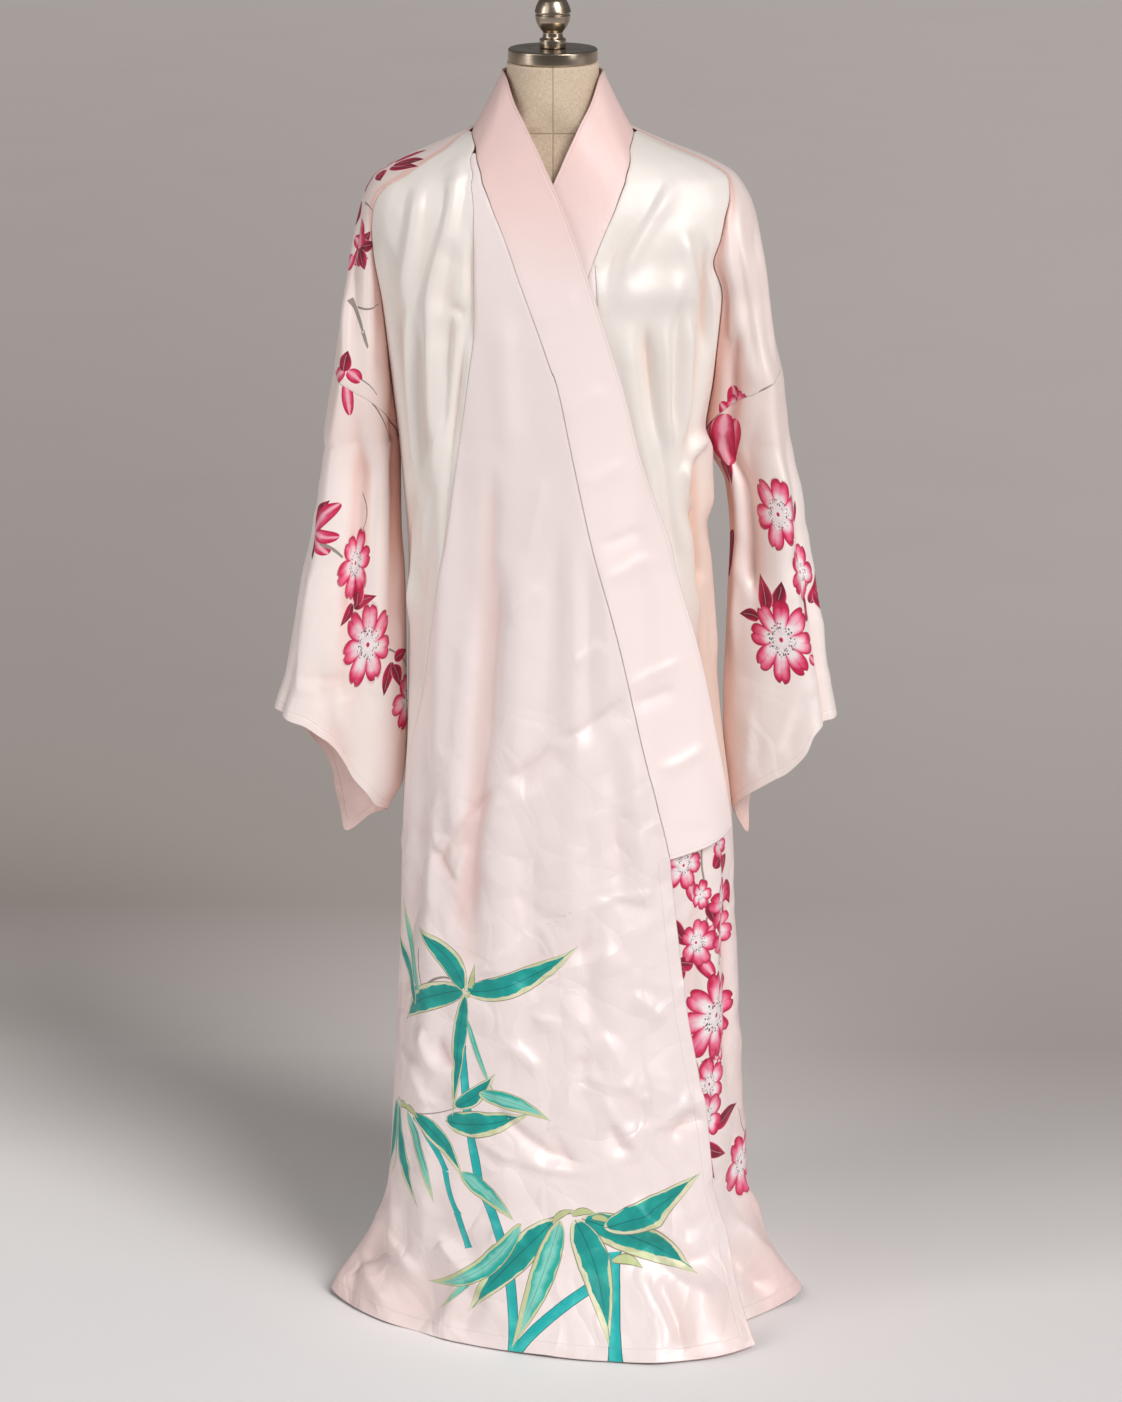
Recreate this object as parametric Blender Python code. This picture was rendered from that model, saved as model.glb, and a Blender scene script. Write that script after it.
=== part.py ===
"""A long silk kimono robe worn by a limbless dress form on a round stand.

Units are metres, +Z is up, the front faces -Y and the wearer's right is at -X. The origin is on the floor
under the middle of the pole. The robe is a set of thin cloth walls. Each wall is a range of one of two smooth
surfaces: the body, which is a stack of level rings, and the arms, which are rings that stand out from the
body's sides. A place on the body is given by its turn, in degrees round from the centre front (+ to +X, 180 at
the back), and its height.
"""

import bmesh
import bpy
import numpy as np

# ---------------------------------------------------------------- driving sizes
CLOTH_WALL = 0.0016
BAND_WALL = 0.0022
SEAM_GAP = 0.0003
DROP_SEAM_GAP = 0.0007
HEM_Z = 0.0020
ARMPIT_Z = 1.070
NECK_Z = 1.438
FRONT_TOP_Z = 1.4345
WRAP_END_Z = 0.592
COLLAR_STANDS_Z = 1.353
ARM_START_Z = 1.385

# The outer front lies one step over the under front, swells a little more on the wearer's left, and its loose
# corner swings forward at the hem.
LAYER_STEP = 0.0045
SWELL = 0.008
SWELL_TURN = 20.0
SWELL_TURN_RUN = 50.0
SWELL_TOP_Z = 1.150
SWELL_RUN = 0.400
HEM_SWING = 0.075
HEM_SWING_Z = 0.150
HEM_SWING_POWER = 1.5
HEM_SWING_TURN = -10.0
HEM_SWING_TURN_RUN = 60.0

# Cloth cut back where walls meet at an angle, so that they stay clear of each other. The valley between front
# and arm opens from its top over a short run, and is sharper near the armpit.
VALLEY_EDGE = 0.0012
VALLEY_TOP_Z = 1.400
VALLEY_RUN = 0.050
VALLEY_FOOT_RUN = 0.030
ARMPIT_EDGE = 0.0024
ARMPIT_EDGE_TOP_Z = 1.300
ARMPIT_EDGE_RUN = 0.150
SIDE_SEAM_EDGE = 0.0005
COLLAR_LIFT = 0.0025
COLLAR_LIFT_Z = 1.340
COLLAR_LIFT_RUN = 0.060
ARMPIT_CLEARANCE = 0.0035
ARMPIT_CLEARANCE_Z = 0.900
ARMPIT_CLEARANCE_RUN = 0.100

# The lower collar's free edge is this much higher than its seam, more so towards the top.
EDGE_RISE = 0.018
EDGE_EXTRA_RISE = 0.015
EDGE_EXTRA_Z = 0.900
EDGE_EXTRA_RUN = 0.450

# How far the form lies under the robe's shoulders, in front of them and round the neck.
SHOULDER_SEAT = 0.0016
FRONT_CLEARANCE = 0.0050
NECK_DROP = 0.0036
NECK_DROP_Z = 1.405
NECK_DROP_RUN = 0.020

PROBE = 0.0004  # the step for normals

NECK_TOP_Z = 1.5137
NECK_RADIUS = 0.0535
CAP_RADIUS = 0.052
CAP_HEIGHT = 0.016
CAP_BEVEL = 0.0016
FORM_BOTTOM_Z = 0.705
POLE_RADIUS = 0.015
BASE_RADIUS = 0.170
BASE_HEIGHT = 0.010
BASE_BEVEL = 0.003

# Rings of the robe's body. left and right are its half widths, front and back its depths from the pole's
# axis, middle is where along Y the ring is widest, and corner is the power of its superellipse (2 is an
# ellipse). left is the width at -X.
BODY = (
    # z     left    right   front  back   middle  corner
    (0.002, 0.272, 0.306, 0.260, 0.235, -0.060, 1.60),
    (0.037, 0.246, 0.279, 0.249, 0.222, -0.052, 1.70),
    (0.091, 0.217, 0.250, 0.236, 0.208, -0.040, 1.90),
    (0.145, 0.204, 0.237, 0.226, 0.200, -0.032, 2.10),
    (0.300, 0.194, 0.228, 0.206, 0.180, -0.020, 2.45),
    (0.450, 0.186, 0.221, 0.190, 0.165, -0.012, 2.65),
    (0.617, 0.180, 0.213, 0.175, 0.148, -0.005, 2.75),
    (0.740, 0.173, 0.199, 0.164, 0.136, 0.000, 2.70),
    (0.918, 0.170, 0.186, 0.151, 0.122, 0.000, 2.55),
    (1.070, 0.180, 0.179, 0.142, 0.112, 0.000, 2.45),
    (1.150, 0.191, 0.191, 0.138, 0.112, 0.000, 2.40),
    (1.240, 0.203, 0.205, 0.132, 0.113, 0.000, 2.40),
    (1.300, 0.214, 0.218, 0.122, 0.113, 0.000, 2.35),
    (1.350, 0.218, 0.226, 0.108, 0.108, 0.000, 2.30),
    (1.382, 0.207, 0.213, 0.094, 0.101, 0.000, 2.25),
    (1.400, 0.178, 0.184, 0.084, 0.095, 0.000, 2.20),
    (1.420, 0.131, 0.132, 0.072, 0.087, 0.004, 2.15),
    (1.438, 0.090, 0.090, 0.060, 0.079, 0.008, 2.10),
)

# Where the seams cross each height, as turns of the wearer's right half (mirrored for the other half).
COLLAR_SEAM = (
    # z     turn
    (0.592, 33.0), (0.722, 25.0), (0.849, 18.0), (0.968, 10.0), (1.086, 4.0), (1.191, -1.0),
    (1.271, -7.0), (1.353, -15.0), (1.390, -22.0), (1.420, -41.0), (1.430, -58.0), (1.438, -86.0),
)
COLLAR_EDGE = (
    # z     turn
    (0.610, 70.0), (0.707, 64.0), (0.848, 53.0), (0.973, 41.0), (1.082, 29.0), (1.207, 15.0),
    (1.270, 9.0), (1.321, 5.0), (1.386, 0.0),
)
WRAP_EDGE = (
    # z     turn
    (0.002, 55.0), (0.100, 57.0), (0.176, 52.0), (0.262, 48.0), (0.418, 39.0), (0.592, 33.0),
)
PRINT_SEAM = (
    # z     turn
    (0.470, -89.5), (0.500, -87.0), (0.594, -81.0), (0.688, -73.0), (0.769, -63.0), (0.847, -53.0),
    (0.948, -44.0), (1.033, -37.0), (1.093, -32.0), (1.141, -28.0), (1.223, -23.0), (1.350, -21.5),
    (1.390, -26.5), (1.420, -48.0),
)
HIDDEN_SEAM = (
    # z     turn
    (0.560, 89.5), (0.600, 82.0), (0.720, 58.0), (0.850, 44.0), (0.970, 32.0), (1.090, 21.0),
    (1.200, 12.0), (1.300, 9.8),
)

# The hidden front's free edge, under the other front.
UNDER_EDGE = (
    # z     turn
    (0.002, -28.0), (0.300, -30.0), (0.592, -33.0),
)

# How far the shoulder seam lies in front of the body's sides, and the valley behind the arm lies behind them.
SHOULDER_SEAM = (
    # z     right_arm  left_arm (in degrees)
    (1.070, 0.0, 0.0), (1.150, 8.0, 9.0), (1.240, 12.0, 18.0), (1.300, 13.0, 31.0), (1.340, 17.0, 30.0),
    (1.373, 24.0, 22.0), (1.389, 33.0, 15.0), (1.415, 28.0, 10.0), (1.430, 12.0, 6.0), (1.438, 4.0, 4.0),
)
BACK_VALLEY = (
    # z     degrees
    (1.070, 0.0), (1.150, 12.0), (1.240, 26.0), (1.300, 34.0), (1.350, 38.0), (1.438, 42.0),
)

# Rings of the arms. Above the armpit inner is not used: the ring starts from the body's side. front and back
# are how far the ring swells each way from its inner corner.
ARM_RIGHT = (
    # z     inner  outer  front  back   middle
    (0.540, 0.232, 0.352, 0.060, 0.066, -0.034),
    (0.624, 0.197, 0.348, 0.062, 0.068, -0.033),
    (0.655, 0.181, 0.346, 0.064, 0.070, -0.032),
    (0.737, 0.1755, 0.3365, 0.067, 0.073, -0.030),
    (0.781, 0.176, 0.3236, 0.070, 0.075, -0.028),
    (0.844, 0.176, 0.3105, 0.074, 0.078, -0.024),
    (0.906, 0.177, 0.2998, 0.078, 0.080, -0.018),
    (0.967, 0.180, 0.2844, 0.082, 0.084, -0.010),
    (1.070, 0.180, 0.2705, 0.084, 0.086, 0.000),
    (1.150, 0.191, 0.2579, 0.074, 0.078, 0.000),
    (1.234, 0.202, 0.2472, 0.050, 0.056, 0.000),
    (1.281, 0.211, 0.2383, 0.032, 0.036, 0.000),
    (1.335, 0.218, 0.2259, 0.012, 0.012, 0.000),
    (1.385, 0.204, 0.2045, 0.000, 0.000, 0.000),
)
ARM_LEFT = (
    # z     inner  outer  front  back   middle
    (0.540, 0.240, 0.358, 0.060, 0.066, -0.034),
    (0.640, 0.213, 0.352, 0.064, 0.070, -0.032),
    (0.728, 0.205, 0.3423, 0.067, 0.073, -0.030),
    (0.769, 0.205, 0.3344, 0.070, 0.075, -0.028),
    (0.819, 0.207, 0.3239, 0.073, 0.077, -0.024),
    (0.881, 0.209, 0.3120, 0.077, 0.080, -0.018),
    (0.943, 0.211, 0.3014, 0.080, 0.082, -0.012),
    (1.016, 0.204, 0.2907, 0.083, 0.085, -0.006),
    (1.070, 0.179, 0.2798, 0.084, 0.086, 0.000),
    (1.138, 0.188, 0.2723, 0.076, 0.080, 0.000),
    (1.186, 0.196, 0.2622, 0.064, 0.070, 0.000),
    (1.246, 0.206, 0.2531, 0.046, 0.054, 0.000),
    (1.311, 0.220, 0.2429, 0.026, 0.030, 0.000),
    (1.350, 0.226, 0.2335, 0.010, 0.010, 0.000),
    (1.390, 0.203, 0.2035, 0.000, 0.000, 0.000),
)
ARM_CORNER = 2.4
ARM_MOUTH = 38.0
ARMPIT_CORNER = 0.12
DROP_SEAM_RISE = 0.085
DROP_SEAM_POWER = 0.6

# The height of the cuff's edge round the arm: 0 and 1 are its inner corner, 0.25 the front, 0.5 the outer
# ridge.
CUFF_RIGHT = (
    # share z
    (0.000, 0.616), (0.059, 0.624), (0.122, 0.645), (0.160, 0.663), (0.197, 0.698), (0.240, 0.717),
    (0.294, 0.733), (0.400, 0.742), (0.500, 0.745), (0.600, 0.735), (0.700, 0.705), (0.780, 0.670),
    (0.830, 0.610), (0.870, 0.578), (0.941, 0.604), (1.000, 0.616),
)
CUFF_LEFT = (
    # share z
    (0.000, 0.616), (0.084, 0.640), (0.139, 0.654), (0.181, 0.666), (0.220, 0.681), (0.256, 0.698),
    (0.286, 0.720), (0.319, 0.728), (0.400, 0.734), (0.500, 0.737), (0.600, 0.728), (0.750, 0.695),
    (0.870, 0.650), (0.912, 0.622), (0.958, 0.582), (1.000, 0.616),
)

# The free edge of the collar where it stands round the neck, from the centre back to where the fronts cross.
NECK_EDGE = (
    # x      y       z
    (0.0000, 0.0610, 1.5010), (0.0250, 0.0580, 1.5012), (0.0440, 0.0440, 1.5025), (0.0555, 0.0220, 1.5035),
    (0.0580, 0.0020, 1.5040), (0.0545, -0.0200, 1.5000), (0.0440, -0.0480, 1.4730), (0.0300, -0.0690, 1.4480),
    (0.0160, -0.0860, 1.4180),
)
# The share of the way along that edge where it passes the side of the neck, and the turns of the neck ring's
# rows.
NECK_SIDE = 0.409
NECK_TURNS = (-94.0, -112.0, -130.0, -150.0, -165.0, 180.0, 165.0, 150.0, 130.0, 112.0, 94.0)

# Soft folds of the body: a line from one place to another that the cloth rises or sinks along.
BODY_FOLDS = (
    # turn  z      turn   z      width  height  (+ out, - in)
    (-20.0, 1.040, -27.0, 0.450, 0.030, -0.006),
    (-38.0, 1.200, -50.0, 0.700, 0.022, 0.005),
    (-62.0, 1.300, -70.0, 0.900, 0.020, -0.007),
    (-48.0, 0.080, -46.0, 0.001, 0.030, -0.014),
    (-72.0, 0.120, -84.0, 0.001, 0.030, 0.012),
    (38.0, 1.330, 44.0, 0.950, 0.022, 0.006),
    (58.0, 1.300, 64.0, 0.900, 0.020, -0.008),
    (70.0, 0.110, 78.0, 0.001, 0.030, 0.012),
    (15.0, 0.200, 20.0, 0.001, 0.040, -0.008),
    (118.0, 1.200, 125.0, 0.300, 0.035, -0.012),
    (150.0, 1.250, 146.0, 0.050, 0.045, 0.012),
    (180.0, 1.150, 178.0, 0.001, 0.050, -0.012),
    (-150.0, 1.250, -148.0, 0.050, 0.045, 0.012),
    (-120.0, 1.200, -124.0, 0.300, 0.035, -0.012),
)
# Soft folds of the arms, in shares of the way round the ring and heights.
ARM_FOLDS_RIGHT = (
    # share z      share  z      width  height
    (0.30, 1.250, 0.33, 0.700, 0.022, 0.006),
    (0.18, 1.050, 0.20, 0.640, 0.022, -0.010),
    (0.42, 0.960, 0.42, 0.720, 0.016, -0.006),
    (0.70, 1.150, 0.70, 0.640, 0.030, -0.010),
)
ARM_FOLDS_LEFT = (
    # share z      share  z      width  height
    (0.14, 1.200, 0.13, 0.900, 0.018, -0.014),
    (0.30, 1.300, 0.28, 0.660, 0.024, 0.006),
    (0.40, 0.900, 0.37, 0.680, 0.016, -0.008),
    (0.70, 1.150, 0.70, 0.640, 0.030, -0.010),
)
DEGREE_GIRTH = 0.0036
SHARE_GIRTH = 0.48

# The dress form below its shoulders.
FORM = (
    # z     side   front  back   middle  corner
    (0.705, 0.138, 0.090, 0.098, 0.004, 2.2),
    (0.720, 0.150, 0.100, 0.106, 0.004, 2.2),
    (0.800, 0.159, 0.112, 0.108, 0.002, 2.2),
    (0.880, 0.157, 0.112, 0.104, 0.002, 2.2),
    (0.960, 0.142, 0.102, 0.094, 0.000, 2.2),
    (1.040, 0.124, 0.088, 0.084, 0.000, 2.2),
    (1.110, 0.136, 0.096, 0.086, 0.000, 2.2),
    (1.180, 0.158, 0.113, 0.094, 0.000, 2.2),
    (1.240, 0.172, 0.117, 0.099, 0.000, 2.2),
    (1.290, 0.186, 0.108, 0.103, 0.000, 2.3),
    (1.330, 0.196, 0.098, 0.102, 0.000, 2.3),
)
# Between them the form follows the robe's shoulders at these heights.
FORM_SHOULDER_ROWS = (1.362, 1.384, 1.400, 1.413, 1.426, NECK_Z)
FORM_NECK = (
    # z     radius
    (1.4445, 0.0700), (1.4540, 0.0610), (1.4680, 0.0565), (1.4850, 0.0545), (1.5000, NECK_RADIUS),
    (NECK_TOP_Z, NECK_RADIUS),
)
FINIAL = (
    # radius  height above the cap
    (0.0155, 0.0003), (0.0155, 0.0100), (0.0145, 0.0110), (0.0120, 0.0120), (0.0115, 0.0180),
    (0.0125, 0.0195), (0.0165, 0.0245), (0.0195, 0.0310), (0.0205, 0.0380), (0.0192, 0.0388),
    (0.0192, 0.0400), (0.0212, 0.0408), (0.0211, 0.0425), (0.0190, 0.0490), (0.0163, 0.0545),
    (0.0120, 0.0605), (0.0060, 0.0645),
)

# ---------------------------------------------------------------- numbers of cells
ROW_SPANS = (
    # from z, to z, cells
    (HEM_Z, 0.145, 4),
    (0.145, ARMPIT_Z, 15),
    (ARMPIT_Z, 1.340, 5),
    (1.340, NECK_Z, 5),
)
BACK_CELLS = 18
LOBE_CELLS = 18
SIDE_CELLS = 6
OVERLAP_CELLS = 14
UNDERLAP_CELLS = 12
COLLAR_CELLS = 4
SLEEVE_CELLS = 18
SLEEVE_ROWS = 9
FORM_SIDES = 28
ROUND_SIDES = 32

COLOURS = {
    # name:        red    green  blue   roughness metallic
    "silk_ivory": (0.780, 0.730, 0.660, 0.34, 0.0),
    "silk_pink": (0.860, 0.720, 0.690, 0.34, 0.0),
    "silk_peach": (0.880, 0.720, 0.620, 0.34, 0.0),
    "silk_band": (0.880, 0.660, 0.640, 0.38, 0.0),
    "linen": (0.640, 0.540, 0.420, 0.85, 0.0),
    "nickel": (0.550, 0.510, 0.450, 0.28, 1.0),
    "stand_steel": (0.300, 0.290, 0.280, 0.40, 1.0),
}


# ---------------------------------------------------------------- smooth tables
def smooth_table(rows):
    """A function of the first column that passes smoothly through the rows and never overshoots."""
    data = np.array(sorted(rows), dtype=float)
    keys, values = data[:, 0], data[:, 1:]
    steps = np.diff(keys)[:, None]
    slopes = np.diff(values, axis=0) / steps
    tangents = np.zeros_like(values)
    tangents[0], tangents[-1] = slopes[0], slopes[-1]
    for i in range(1, len(keys) - 1):
        before, after = slopes[i - 1], slopes[i]
        heavy, light = 2 * steps[i] + steps[i - 1], steps[i] + 2 * steps[i - 1]
        rising = before * after > 0
        safe_before, safe_after = np.where(rising, before, 1.0), np.where(rising, after, 1.0)
        tangents[i] = np.where(rising, (heavy + light) / (heavy / safe_before + light / safe_after), 0.0)

    def at(key):
        key = np.clip(np.asarray(key, dtype=float), keys[0], keys[-1])
        i = np.clip(np.searchsorted(keys, key) - 1, 0, len(keys) - 2)
        step = steps[i]
        t = (key[..., None] - keys[i][..., None]) / step
        return (
            (1 + 2 * t) * (1 - t) ** 2 * values[i]
            + t * (1 - t) ** 2 * step * tangents[i]
            + t * t * (3 - 2 * t) * values[i + 1]
            + t * t * (t - 1) * step * tangents[i + 1]
        )

    return at


body_at = smooth_table(BODY)
collar_seam_at = smooth_table(COLLAR_SEAM)
collar_edge_at = smooth_table(COLLAR_EDGE)
wrap_edge_at = smooth_table(WRAP_EDGE)
print_seam_at = smooth_table(PRINT_SEAM)
hidden_seam_at = smooth_table(HIDDEN_SEAM)
under_edge_at = smooth_table(UNDER_EDGE)
shoulder_seam_at = smooth_table(SHOULDER_SEAM)
back_valley_at = smooth_table(BACK_VALLEY)
arm_at = {"right": smooth_table(ARM_RIGHT), "left": smooth_table(ARM_LEFT)}
cuff_at = {"right": smooth_table(CUFF_RIGHT), "left": smooth_table(CUFF_LEFT)}
form_at = smooth_table(FORM)
SIDE_SIGN = {"right": -1.0, "left": 1.0}
ARM_FOLDS = {"right": ARM_FOLDS_RIGHT, "left": ARM_FOLDS_LEFT}


def ease(value):
    """0 below 0, 1 above 1 and a smooth step between."""
    value = np.clip(value, 0.0, 1.0)
    return value * value * (3 - 2 * value)


def power(value, exponent):
    """A signed power, for superellipses."""
    return np.sign(value) * np.abs(value) ** exponent


# ---------------------------------------------------------------- surfaces
def fold_height(folds, across, z, girth):
    """The summed height of the soft folds at a place, where across times girth is a length in metres."""
    total = np.zeros(np.broadcast(across, z).shape)
    for across_0, z_0, across_1, z_1, width, height in folds:
        run = np.array([(across_1 - across_0) * girth, z_1 - z_0])
        length = np.hypot(*run)
        along_x, along_z = (across - across_0) * girth, z - z_0
        along = (along_x * run[0] + along_z * run[1]) / length**2
        aside = (along_x * run[1] - along_z * run[0]) / length
        tail = width / length
        ends = ease((along + tail) / (2 * tail)) * ease((1 + tail - along) / (2 * tail))
        total = total + height * np.exp(-((aside / width) ** 2)) * ends
    return total


def body_ring(turn, z):
    """The bare body surface."""
    left, right, front, back, middle, corner = np.moveaxis(body_at(z), -1, 0)
    sideways, forward = np.sin(np.radians(turn)), np.cos(np.radians(turn))
    half = np.where(sideways < 0, left, right)
    depth = np.where(forward > 0, front + middle, back - middle)
    x = half * power(sideways, 2 / corner)
    y = middle - depth * power(forward, 2 / corner)
    return np.stack([x, y, np.broadcast_to(z, x.shape)], axis=-1)


def outward(surface, turn, z):
    """The surface's outward normal, by small differences that stay between the hem and the neck."""
    turn_step = PROBE / DEGREE_GIRTH
    round_it = surface(turn + turn_step, z) - surface(turn - turn_step, z)
    upward = surface(turn, np.minimum(z + PROBE, NECK_Z)) - surface(turn, np.maximum(z - PROBE, HEM_Z))
    normal = np.cross(round_it, upward)
    return normal / np.linalg.norm(normal, axis=-1, keepdims=True)


def layer_height(turn, z, layer):
    """How far a layer of the wrapped fronts stands off the body: the fronts stay one step apart."""
    share = ease((np.asarray(turn) + 90.0) / 180.0)
    if layer == "outer":
        swell = ease((turn - SWELL_TURN) / SWELL_TURN_RUN) * ease((SWELL_TOP_Z - z) / SWELL_RUN)
        return LAYER_STEP * share + SWELL * swell
    if layer == "under":
        return -LAYER_STEP * (1 - share)
    return 0.0 * share


def body(turn, z, layer="back"):
    """A point of the robe's body, with its folds, in one of its layers."""
    turn, z = np.broadcast_arrays(np.asarray(turn, dtype=float), np.asarray(z, dtype=float))
    wrapped = (turn + 180.0) % 360.0 - 180.0
    height = fold_height(BODY_FOLDS, wrapped, z, DEGREE_GIRTH)
    height = height + fold_height(BODY_FOLDS, wrapped - 360.0 * np.sign(wrapped), z, DEGREE_GIRTH)
    height = height + layer_height(turn, z, layer)
    point = body_ring(turn, z) + outward(body_ring, turn, z) * height[..., None]
    if layer == "outer":
        low = ease(1 - z / HEM_SWING_Z) ** HEM_SWING_POWER
        point[..., 1] -= HEM_SWING * low * ease((turn - HEM_SWING_TURN) / HEM_SWING_TURN_RUN)
    return point


def arm(side, share, z, sleeve=False):
    """A point of an arm: share runs from its inner corner, round the front, the outer ridge and the back."""
    sign = SIDE_SIGN[side]
    share, z = np.broadcast_arrays(np.asarray(share, dtype=float), np.asarray(z, dtype=float))
    inner, outer, front, back, middle = np.moveaxis(arm_at[side](z), -1, 0)
    seam = shoulder_seam_at(z)[..., 0 if side == "right" else 1]
    valley = back_valley_at(z)[..., 0]
    root = body(sign * (90.0 - seam + share * (seam + valley)), np.maximum(z, ARMPIT_Z))
    start = np.stack([sign * inner, middle, z], axis=-1)
    base = np.where((z >= ARMPIT_Z)[..., None], root, start)
    angle = np.radians(ARM_MOUTH + (360.0 - 2 * ARM_MOUTH) * share)
    mouth = np.radians(ARM_MOUTH)
    exponent = 2 / ARM_CORNER
    reach = (np.cos(mouth) ** exponent - power(np.cos(angle), exponent)) / (np.cos(mouth) ** exponent + 1)
    swing = power(np.sin(angle), exponent) - np.sin(mouth) ** exponent * (1 - 2 * share)
    depth = np.where(swing > 0, front, back)
    folds = fold_height(ARM_FOLDS[side], share, z, SHARE_GIRTH)
    point = base + np.stack([sign * reach * (outer - inner), -depth * swing, 0 * reach], axis=-1)
    round_out = np.stack([-sign * np.cos(angle), -np.sin(angle), 0 * angle], axis=-1)
    point = point + round_out * folds[..., None]
    if sleeve:
        corner = 1 - ease(np.minimum(share, 1 - share) / ARMPIT_CORNER)
        clear = ARMPIT_CLEARANCE * corner * ease((z - ARMPIT_CLEARANCE_Z) / ARMPIT_CLEARANCE_RUN)
        point = point + clear[..., None] * np.array([sign, 0.0, 0.0])
    return point


def drop_seam_z(share):
    """The height of the seam between the upper arm and the sleeve."""
    return ARMPIT_Z + DROP_SEAM_RISE * np.sin(np.pi * np.clip(share, 0, 1)) ** DROP_SEAM_POWER


# ---------------------------------------------------------------- meshes
def grid_normals(points, closed=False):
    """Outward normals of a grid: rows run down from the top, columns run anticlockwise from above."""
    if closed:
        across = np.roll(points, -1, axis=1) - np.roll(points, 1, axis=1)
    else:
        across = np.gradient(points, axis=1)
    down = np.gradient(points, axis=0)
    normals = np.cross(down, across)
    return normals / np.maximum(np.linalg.norm(normals, axis=-1, keepdims=True), 1e-12)


def nudged(points, left=0.0, right=0.0, top=0.0, bottom=0.0):
    """The grid with its border rows and columns moved inward, by one length or by one for each point."""
    points = points.copy()

    def move(edge, inner, by):
        direction = inner - edge
        length = np.maximum(np.linalg.norm(direction, axis=-1, keepdims=True), 1e-9)
        return edge + direction / length * np.broadcast_to(by, len(edge))[:, None]

    points[:, 0] = move(points[:, 0], points[:, 1], left)
    points[:, -1] = move(points[:, -1], points[:, -2], right)
    points[0] = move(points[0], points[1], top)
    points[-1] = move(points[-1], points[-2], bottom)
    return points


def wall_mesh(points, normals, wall, closed=False, keep=None):
    """Vertices and faces of a wall with the grid at its middle. keep says which cells it has.

    Each cell is two triangles, cut along its shorter diagonal on both skins, so that the skins of a twisted
    cell stay parallel.
    """
    rows, columns = points.shape[:2]
    cells = columns if closed else columns - 1
    keep = np.ones((rows - 1, cells), bool) if keep is None else keep
    outer = points + normals * wall / 2
    inner = points - normals * wall / 2
    vertices = np.concatenate([outer.reshape(-1, 3), inner.reshape(-1, 3)])
    offset = rows * columns

    middles = points.reshape(-1, 3)

    def corner(i, j):
        return i * columns + j % columns

    faces = []
    edges = {}
    for i in range(rows - 1):
        for j in range(cells):
            if not keep[i, j]:
                continue
            loop = [corner(i, j), corner(i + 1, j), corner(i + 1, j + 1), corner(i, j + 1)]
            for a, b in zip(loop, loop[1:] + loop[:1]):
                edges[(a, b)] = True
            first, second = (np.linalg.norm(middles[loop[k]] - middles[loop[k + 2]]) for k in (0, 1))
            turned = loop if first <= second else loop[1:] + loop[:1]
            for triangle in ((turned[0], turned[1], turned[2]), (turned[0], turned[2], turned[3])):
                faces.append(triangle)
                faces.append(tuple(v + offset for v in reversed(triangle)))
    for a, b in edges:
        if (b, a) not in edges:
            faces.append((b, a, a + offset, b + offset))
    return vertices, faces


def revolve(profile, sides):
    """Vertices and faces of a turned solid from its (radius, height) profile, lowest first."""
    angles = 2 * np.pi * np.arange(sides) / sides
    vertices = [(r * np.cos(a), r * np.sin(a), z) for r, z in profile for a in angles]
    return ring_faces(vertices, len(profile), sides)


def ring_faces(vertices, rings, sides):
    """Closes a stack of rings, lowest first and anticlockwise from above, with a fan at each end."""
    faces = []
    for i in range(rings - 1):
        for j in range(sides):
            k = (j + 1) % sides
            faces.append((i * sides + j, i * sides + k, (i + 1) * sides + k, (i + 1) * sides + j))
    vertices = [tuple(v) for v in vertices]
    for ring, flip in ((0, True), (rings - 1, False)):
        middle = tuple(np.mean(vertices[ring * sides:(ring + 1) * sides], axis=0))
        vertices.append(middle)
        centre = len(vertices) - 1
        for j in range(sides):
            a, b = ring * sides + j, ring * sides + (j + 1) % sides
            faces.append((centre, b, a) if flip else (centre, a, b))
    return vertices, faces


def add_piece(name, vertices, faces, material):
    """A smooth shaded object from vertices and faces."""
    mesh = bpy.data.meshes.new(name)
    mesh.from_pydata([tuple(map(float, v)) for v in vertices], [], faces)
    used = {v for face in faces for v in face}
    mesh.validate()
    if len(used) < len(vertices):
        remove_loose(mesh)
    mesh.materials.append(material)
    mesh.shade_smooth()
    piece = bpy.data.objects.new(name, mesh)
    bpy.context.scene.collection.objects.link(piece)
    return piece


def remove_loose(mesh):
    """Deletes the vertices that no face uses."""
    work = bmesh.new()
    work.from_mesh(mesh)
    bmesh.ops.delete(work, geom=[v for v in work.verts if not v.link_faces], context="VERTS")
    work.to_mesh(mesh)
    work.free()


def make_material(name):
    """A plain shader in one of the named colours."""
    red, green, blue, roughness, metallic = COLOURS[name]
    material = bpy.data.materials.new(name)
    material.use_nodes = True
    shader = material.node_tree.nodes["Principled BSDF"]
    shader.inputs["Base Color"].default_value = (red, green, blue, 1.0)
    shader.inputs["Roughness"].default_value = roughness
    shader.inputs["Metallic"].default_value = metallic
    return material


# ---------------------------------------------------------------- the pieces
def level_rows():
    """The heights that all body panels share, highest first, so that neighbours meet point to point."""
    heights = [ROW_SPANS[-1][1]]
    for low, high, cells in reversed(ROW_SPANS):
        heights += [high + (low - high) * (k + 1) / cells for k in range(cells)]
    return np.array(heights)


def between(left, right, cells):
    """For each row, evenly spaced values from left to right."""
    share = np.linspace(0.0, 1.0, cells + 1)[None, :]
    return left[:, None] * (1 - share) + right[:, None] * share


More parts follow.
